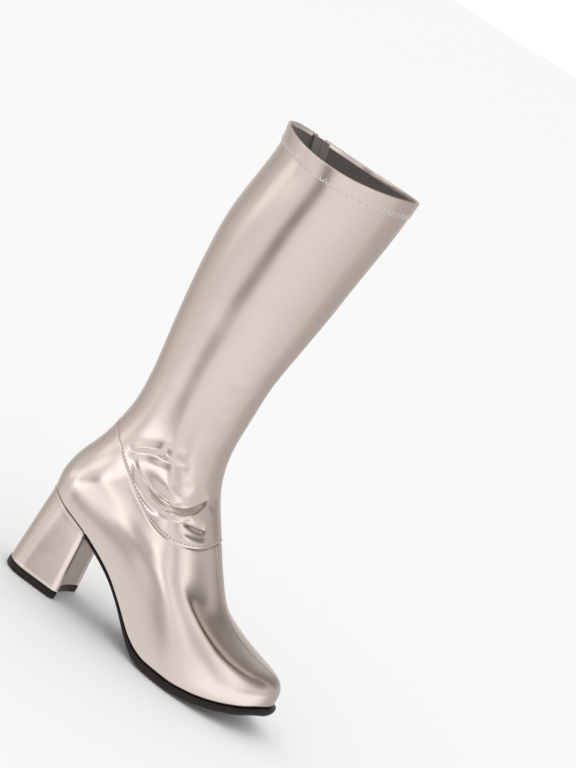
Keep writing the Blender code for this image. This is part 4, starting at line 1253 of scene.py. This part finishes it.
def slider_matrix():
    """The slider's own frame: X across the zip to the back, Y up the zip, Z out of the boot."""
    height = SHAFT_HEIGHT - SLIDER_DROP
    step = 0.002
    place = Vector(surface(height, zip_turn(height)))
    above = Vector(surface(height + step, zip_turn(height + step)))
    below = Vector(surface(height - step, zip_turn(height - step)))
    up = (above - below).normalized()
    out = Vector(directions(np.array(height), zip_turn(height))[0])
    out = (out - out.dot(up) * up).normalized()
    turned = Matrix((up.cross(out), up, out)).transposed().to_4x4()
    turned.translation = place
    return turned


def hanging(turned):
    """The slider's frame moved to the hinge and turned about it, so that the pull tab hangs plumb."""
    across = Vector(turned.col[0][:3])
    up = (Vector((0, 0, 1)) - across.z * across).normalized()
    plumb = Matrix((across, up, across.cross(up))).transposed().to_4x4()
    plumb.translation = turned @ Vector((0, 0, BAR_HEIGHT))
    return plumb


# The zip's metal plates. Squareness: 2 is an ellipse, more is squarer.
PLATE_POINTS = 48
METAL_SHARP = math.radians(50)
BODY_SQUARENESS = 4.5
BODY_TAPER = 0.28
BODY_EDGE = 0.0007
PULL_SQUARENESS = 5.0
PULL_EDGE = 0.0004
EYE_SQUARENESS = 6.0
# The raised field on the pull tab, in shares of the tab's length and width, and its height and edge.
FIELD_MIDDLE = 0.62
FIELD_HALF_WIDTH = 0.30
FIELD_HALF_LENGTH = 0.24
FIELD_SQUARENESS = 3.0
FIELD_SINK = 0.0001
FIELD_RISE = 0.00018
FIELD_EDGE = 0.00012
# The bridge's section: share of its half width across, share of its wall from its outer face inwards.
BRIDGE_SECTION = ((-1, 0), (-0.6, -0.12), (0.6, -0.12), (1, 0), (1, 1), (-1, 1))
BRIDGE_STEPS = 24
BRIDGE_SINK = 0.6
BRIDGE_ARCH = 0.7


def join_rings(shape, rings):
    """Quads between each ring of points and the next."""
    for a, b in zip(rings, rings[1:]):
        for i in range(len(a)):
            k = (i + 1) % len(a)
            shape.faces.new((a[i], a[k], b[k], b[i]))


def rounded_plate(shape, outline, low, high, edge, hole=None):
    """A plate with rounded edges over an outline in X and Y. A hole has as many points as the outline."""
    small = 0.3 * edge
    outline = np.array([(x, y, 0.0) for x, y in outline])
    rings = []
    for level, inset in (
        (low, edge), (low + small, small), (low + edge, 0.0),
        (high - edge, 0.0), (high - small, small), (high, edge),
    ):
        rings.append([shape.verts.new((x, y, level)) for x, y, _ in spread(outline, -inset)])
    if hole is None:
        shape.faces.new(rings[-1])
        shape.faces.new(rings[0][::-1])
    else:
        inner = [[shape.verts.new((x, y, level)) for x, y in hole] for level in (low, high)]
        rings = [inner[0], *rings, inner[1], inner[0]]
    join_rings(shape, rings)


def superellipse(centre_y, half_x, half_y, power, taper=0.0):
    """Points of a rounded rectangle in X and Y, narrower to its lower end by the taper."""
    points = []
    for i in range(PLATE_POINTS):
        angle = 2 * math.pi * i / PLATE_POINTS
        x, y = (math.copysign(abs(c) ** (2 / power), c) for c in (math.cos(angle), math.sin(angle)))
        points.append((x * half_x * (1 - taper * (1 - y) / 2), centre_y + y * half_y))
    return points


def metal_piece(name, shape, matrix, **tags):
    """A closed piece of the zip's metal, moved into place."""
    bmesh.ops.recalc_face_normals(shape, faces=shape.faces)
    bmesh.ops.transform(shape, matrix=matrix, verts=shape.verts)
    mesh = bpy.data.meshes.new(name)
    shape.to_mesh(mesh)
    shape.free()
    new_piece(name, mesh, METAL, "zip_metal", **tags)
    mesh.set_sharp_from_angle(angle=METAL_SHARP)


def make_slider():
    """The slider's body and the arched bridge over it, which holds the pull tab."""
    shape = bmesh.new()
    body = superellipse(0.0, SLIDER_WIDTH / 2, SLIDER_LENGTH / 2, BODY_SQUARENESS, BODY_TAPER)
    rounded_plate(shape, body, -WALL + GAP, SLIDER_RISE, BODY_EDGE)
    top = BAR_HEIGHT + BAR_SIZE / math.sqrt(2) + BAR_PLAY + BRIDGE_WALL
    rings = []
    for i in range(BRIDGE_STEPS + 1):
        angle = math.pi * i / BRIDGE_STEPS
        foot = SLIDER_RISE if 0 < i < BRIDGE_STEPS else BRIDGE_SINK * SLIDER_RISE
        ring = []
        for across, depth in BRIDGE_SECTION:
            wall = BRIDGE_WALL * depth
            y = -math.cos(angle) * (BRIDGE_LENGTH / 2 - wall)
            z = foot + math.sin(angle) ** BRIDGE_ARCH * (top - SLIDER_RISE - wall)
            ring.append(shape.verts.new((across * BRIDGE_WIDTH / 2, y, z)))
        rings.append(ring)
    join_rings(shape, rings)
    shape.faces.new(rings[0])
    shape.faces.new(rings[-1][::-1])
    metal_piece("zip_slider_body", shape, slider_matrix(), replaces="zip_slider")


def make_pull():
    """The pull tab, which turns on its bar in the slider's bridge."""
    shape = bmesh.new()
    half_bar = BAR_SIZE / 2
    half_length = (PULL_LENGTH + half_bar) / 2
    outline = superellipse(half_bar - half_length, PULL_WIDTH / 2, half_length, PULL_SQUARENESS)
    eye_half = BRIDGE_WIDTH / 2 + EYE_PLAY
    hole = superellipse(-half_bar - EYE_LENGTH / 2, eye_half, EYE_LENGTH / 2, EYE_SQUARENESS)
    rounded_plate(shape, outline, -half_bar, half_bar, PULL_EDGE, hole)
    field = superellipse(
        -PULL_LENGTH * FIELD_MIDDLE, PULL_WIDTH * FIELD_HALF_WIDTH, PULL_LENGTH * FIELD_HALF_LENGTH,
        FIELD_SQUARENESS,
    )
    rounded_plate(shape, field, half_bar - FIELD_SINK, half_bar + FIELD_RISE, FIELD_EDGE)
    metal_piece("zip_pull_tab", shape, hanging(slider_matrix()), body="pull_tab", replaces="zip_pull")


# A stitch along X: share of its length, share of its radius, how far it sinks in radii.
STITCH_ROWS = (
    (-0.5, 0.35, 1.5), (-0.42, 0.85, 0.7), (-0.2, 1.0, 0.0),
    (0.2, 1.0, 0.0), (0.42, 0.85, 0.7), (0.5, 0.35, 1.5),
)
STITCH_SIDES = 6
STITCH_RISE = 0.35


def stitch_mesh(name, starts, ends, outs, radius):
    """Threads from each start to its end, lying on the surface whose outward directions are given."""
    middle = (starts + ends) / 2
    length = np.linalg.norm(ends - starts, axis=-1, keepdims=True)
    along = unit(ends - starts)
    side = unit(np.cross(outs, along))
    over = np.cross(along, side)
    points = []
    for place, width, sink in STITCH_ROWS:
        for i in range(STITCH_SIDES):
            angle = 2 * math.pi * i / STITCH_SIDES
            points.append(
                middle + along * length * place
                + side * radius * width * math.cos(angle)
                + over * radius * (width * math.sin(angle) - sink + STITCH_RISE)
            )
    each = len(points)
    one = []
    for a in range(0, each - STITCH_SIDES, STITCH_SIDES):
        for i in range(STITCH_SIDES):
            k = (i + 1) % STITCH_SIDES
            one.append((a + i, a + k, a + k + STITCH_SIDES, a + i + STITCH_SIDES))
    one += [range(STITCH_SIDES)[::-1], range(each - STITCH_SIDES, each)]
    faces = [[n * each + v for v in face] for n in range(len(starts)) for face in one]
    mesh = bpy.data.meshes.new(name)
    mesh.from_pydata(np.stack(points, axis=1).reshape(-1, 3).tolist(), [], faces)
    return mesh


def lengths_along(path):
    """The length of a path up to each of its points."""
    return np.concatenate([[0], np.cumsum(np.linalg.norm(np.diff(path, axis=0), axis=1))])


def walk(height, turn, pitch, share):
    """Starts, ends and outward directions of stitches along a line of heights and turns."""
    place = lengths_along(skin(height, turn))
    count = int(place[-1] / pitch)
    centres = (np.arange(count) + 0.5) * place[-1] / count
    ends = []
    for sign in (-0.5, 0.5):
        at = centres + sign * share * pitch
        ends.append((np.interp(at, place, height), np.interp(at, place, turn)))
    points = [skin(h, t) for h, t in ends]
    outs, _ = directions(*(0.5 * (a + b) for a, b in zip(*ends)))
    return points[0], points[1], outs


THREAD_RADIUS = 0.00026
SEAM_THREAD_RADIUS = 0.00032
HEM_THREAD_RADIUS = 0.00034
STITCH_PITCH = 0.0031
ZIP_STITCH = 0.62
SEAM_STITCH = 0.55
# How far the stitch rows lie from the slot's edge and above the curved seam, and the stretches of turns that
# have them.
ZIP_ROWS = (0.0014, 0.0036)
ZIP_ROW_DROP = 0.004
ZIP_ROW_FLAT = 0.85
SEAM_ROW = 0.0013
SEAM_STRETCHES = ((-1.0, -0.002), (0.0, 0.47), (0.63, 1.0))
# The hem's zigzag: metres under the collar's edge and beside the zip's middle.
ZIGZAG_PITCH = 0.0056
ZIGZAG_LOW = 0.0157
ZIGZAG_HIGH = 0.0103
ZIGZAG_SIDE = 0.007


def zip_row(gap):
    """Heights and turns of a stitch row down behind the zip's slot, round its foot and up in front."""
    foot = ZIP_SLOT / 2 * ZIP_END_TAPER
    centre = ZIP_FOOT + foot
    straight = np.linspace(SHAFT_HEIGHT - ZIP_ROW_DROP, centre, ZIP_POINTS)
    reach = slot_half(straight) + gap
    angle = np.linspace(0, math.pi, 24)[1:-1]
    height = np.concatenate([straight, centre - (foot + gap) * np.sin(angle) * ZIP_ROW_FLAT, straight[::-1]])
    across = np.concatenate([-reach, -(foot + gap) * np.cos(angle), reach[::-1]])
    return height, zip_turn(height, across)


def make_stitch_rows(name, rows, radius):
    starts, ends, outs = (np.concatenate(parts) for parts in zip(*rows))
    new_piece(name, stitch_mesh(name, starts, ends, outs, radius), THREAD, "silver_foil")


def make_zigzag():
    """One thread up and down across the hem's edge, all the way round from zip to zip."""
    low, high = SHAFT_HEIGHT - ZIGZAG_LOW, SHAFT_HEIGHT - ZIGZAG_HIGH
    start, stop = zip_turn(high, -ZIGZAG_SIDE), zip_turn(high, ZIGZAG_SIDE)
    around = np.concatenate([np.linspace(start, 1, 200), np.linspace(-1, stop, 800)[1:]])
    place = lengths_along(surface(high, around))
    count = int(place[-1] / (ZIGZAG_PITCH / 2))
    steps = np.arange(count + 1)
    turn = np.interp(steps * place[-1] / count, place, np.unwrap(around * math.pi) / math.pi)
    turn = (turn + 1) % 2 - 1
    height = np.where(steps % 2, low, high)
    points = skin(height, turn)
    outs, _ = directions(0.5 * (height[1:] + height[:-1]), turn[:-1])
    mesh = stitch_mesh("hem_stitches", points[:-1], points[1:], outs, HEM_THREAD_RADIUS)
    new_piece("hem_stitches", mesh, HEM_THREAD, "silver_foil")


def make_stitches():
    rows = [walk(*zip_row(gap), STITCH_PITCH, ZIP_STITCH) for gap in ZIP_ROWS]
    make_stitch_rows("zip_stitches", rows, THREAD_RADIUS)
    rows = []
    for start, stop in SEAM_STRETCHES:
        turn = np.linspace(start, stop, 400)
        rows.append(walk(seam_height(turn) + SEAM_ROW, turn, STITCH_PITCH, SEAM_STITCH))
    make_stitch_rows("seam_stitches", rows, SEAM_THREAD_RADIUS)
    make_zigzag()


make_camera()
make_floor()
make_world()
make_cards()
make_foot()
make_leg()
make_lining()
make_sole()
make_heel()
make_lift()
make_zip_strips()
make_slider()
make_pull()
make_stitches()

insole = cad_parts["insole"]
insole.data.materials.clear()
insole.data.materials.append(SOCK)

bpy.context.scene.view_settings.view_transform = "Standard"
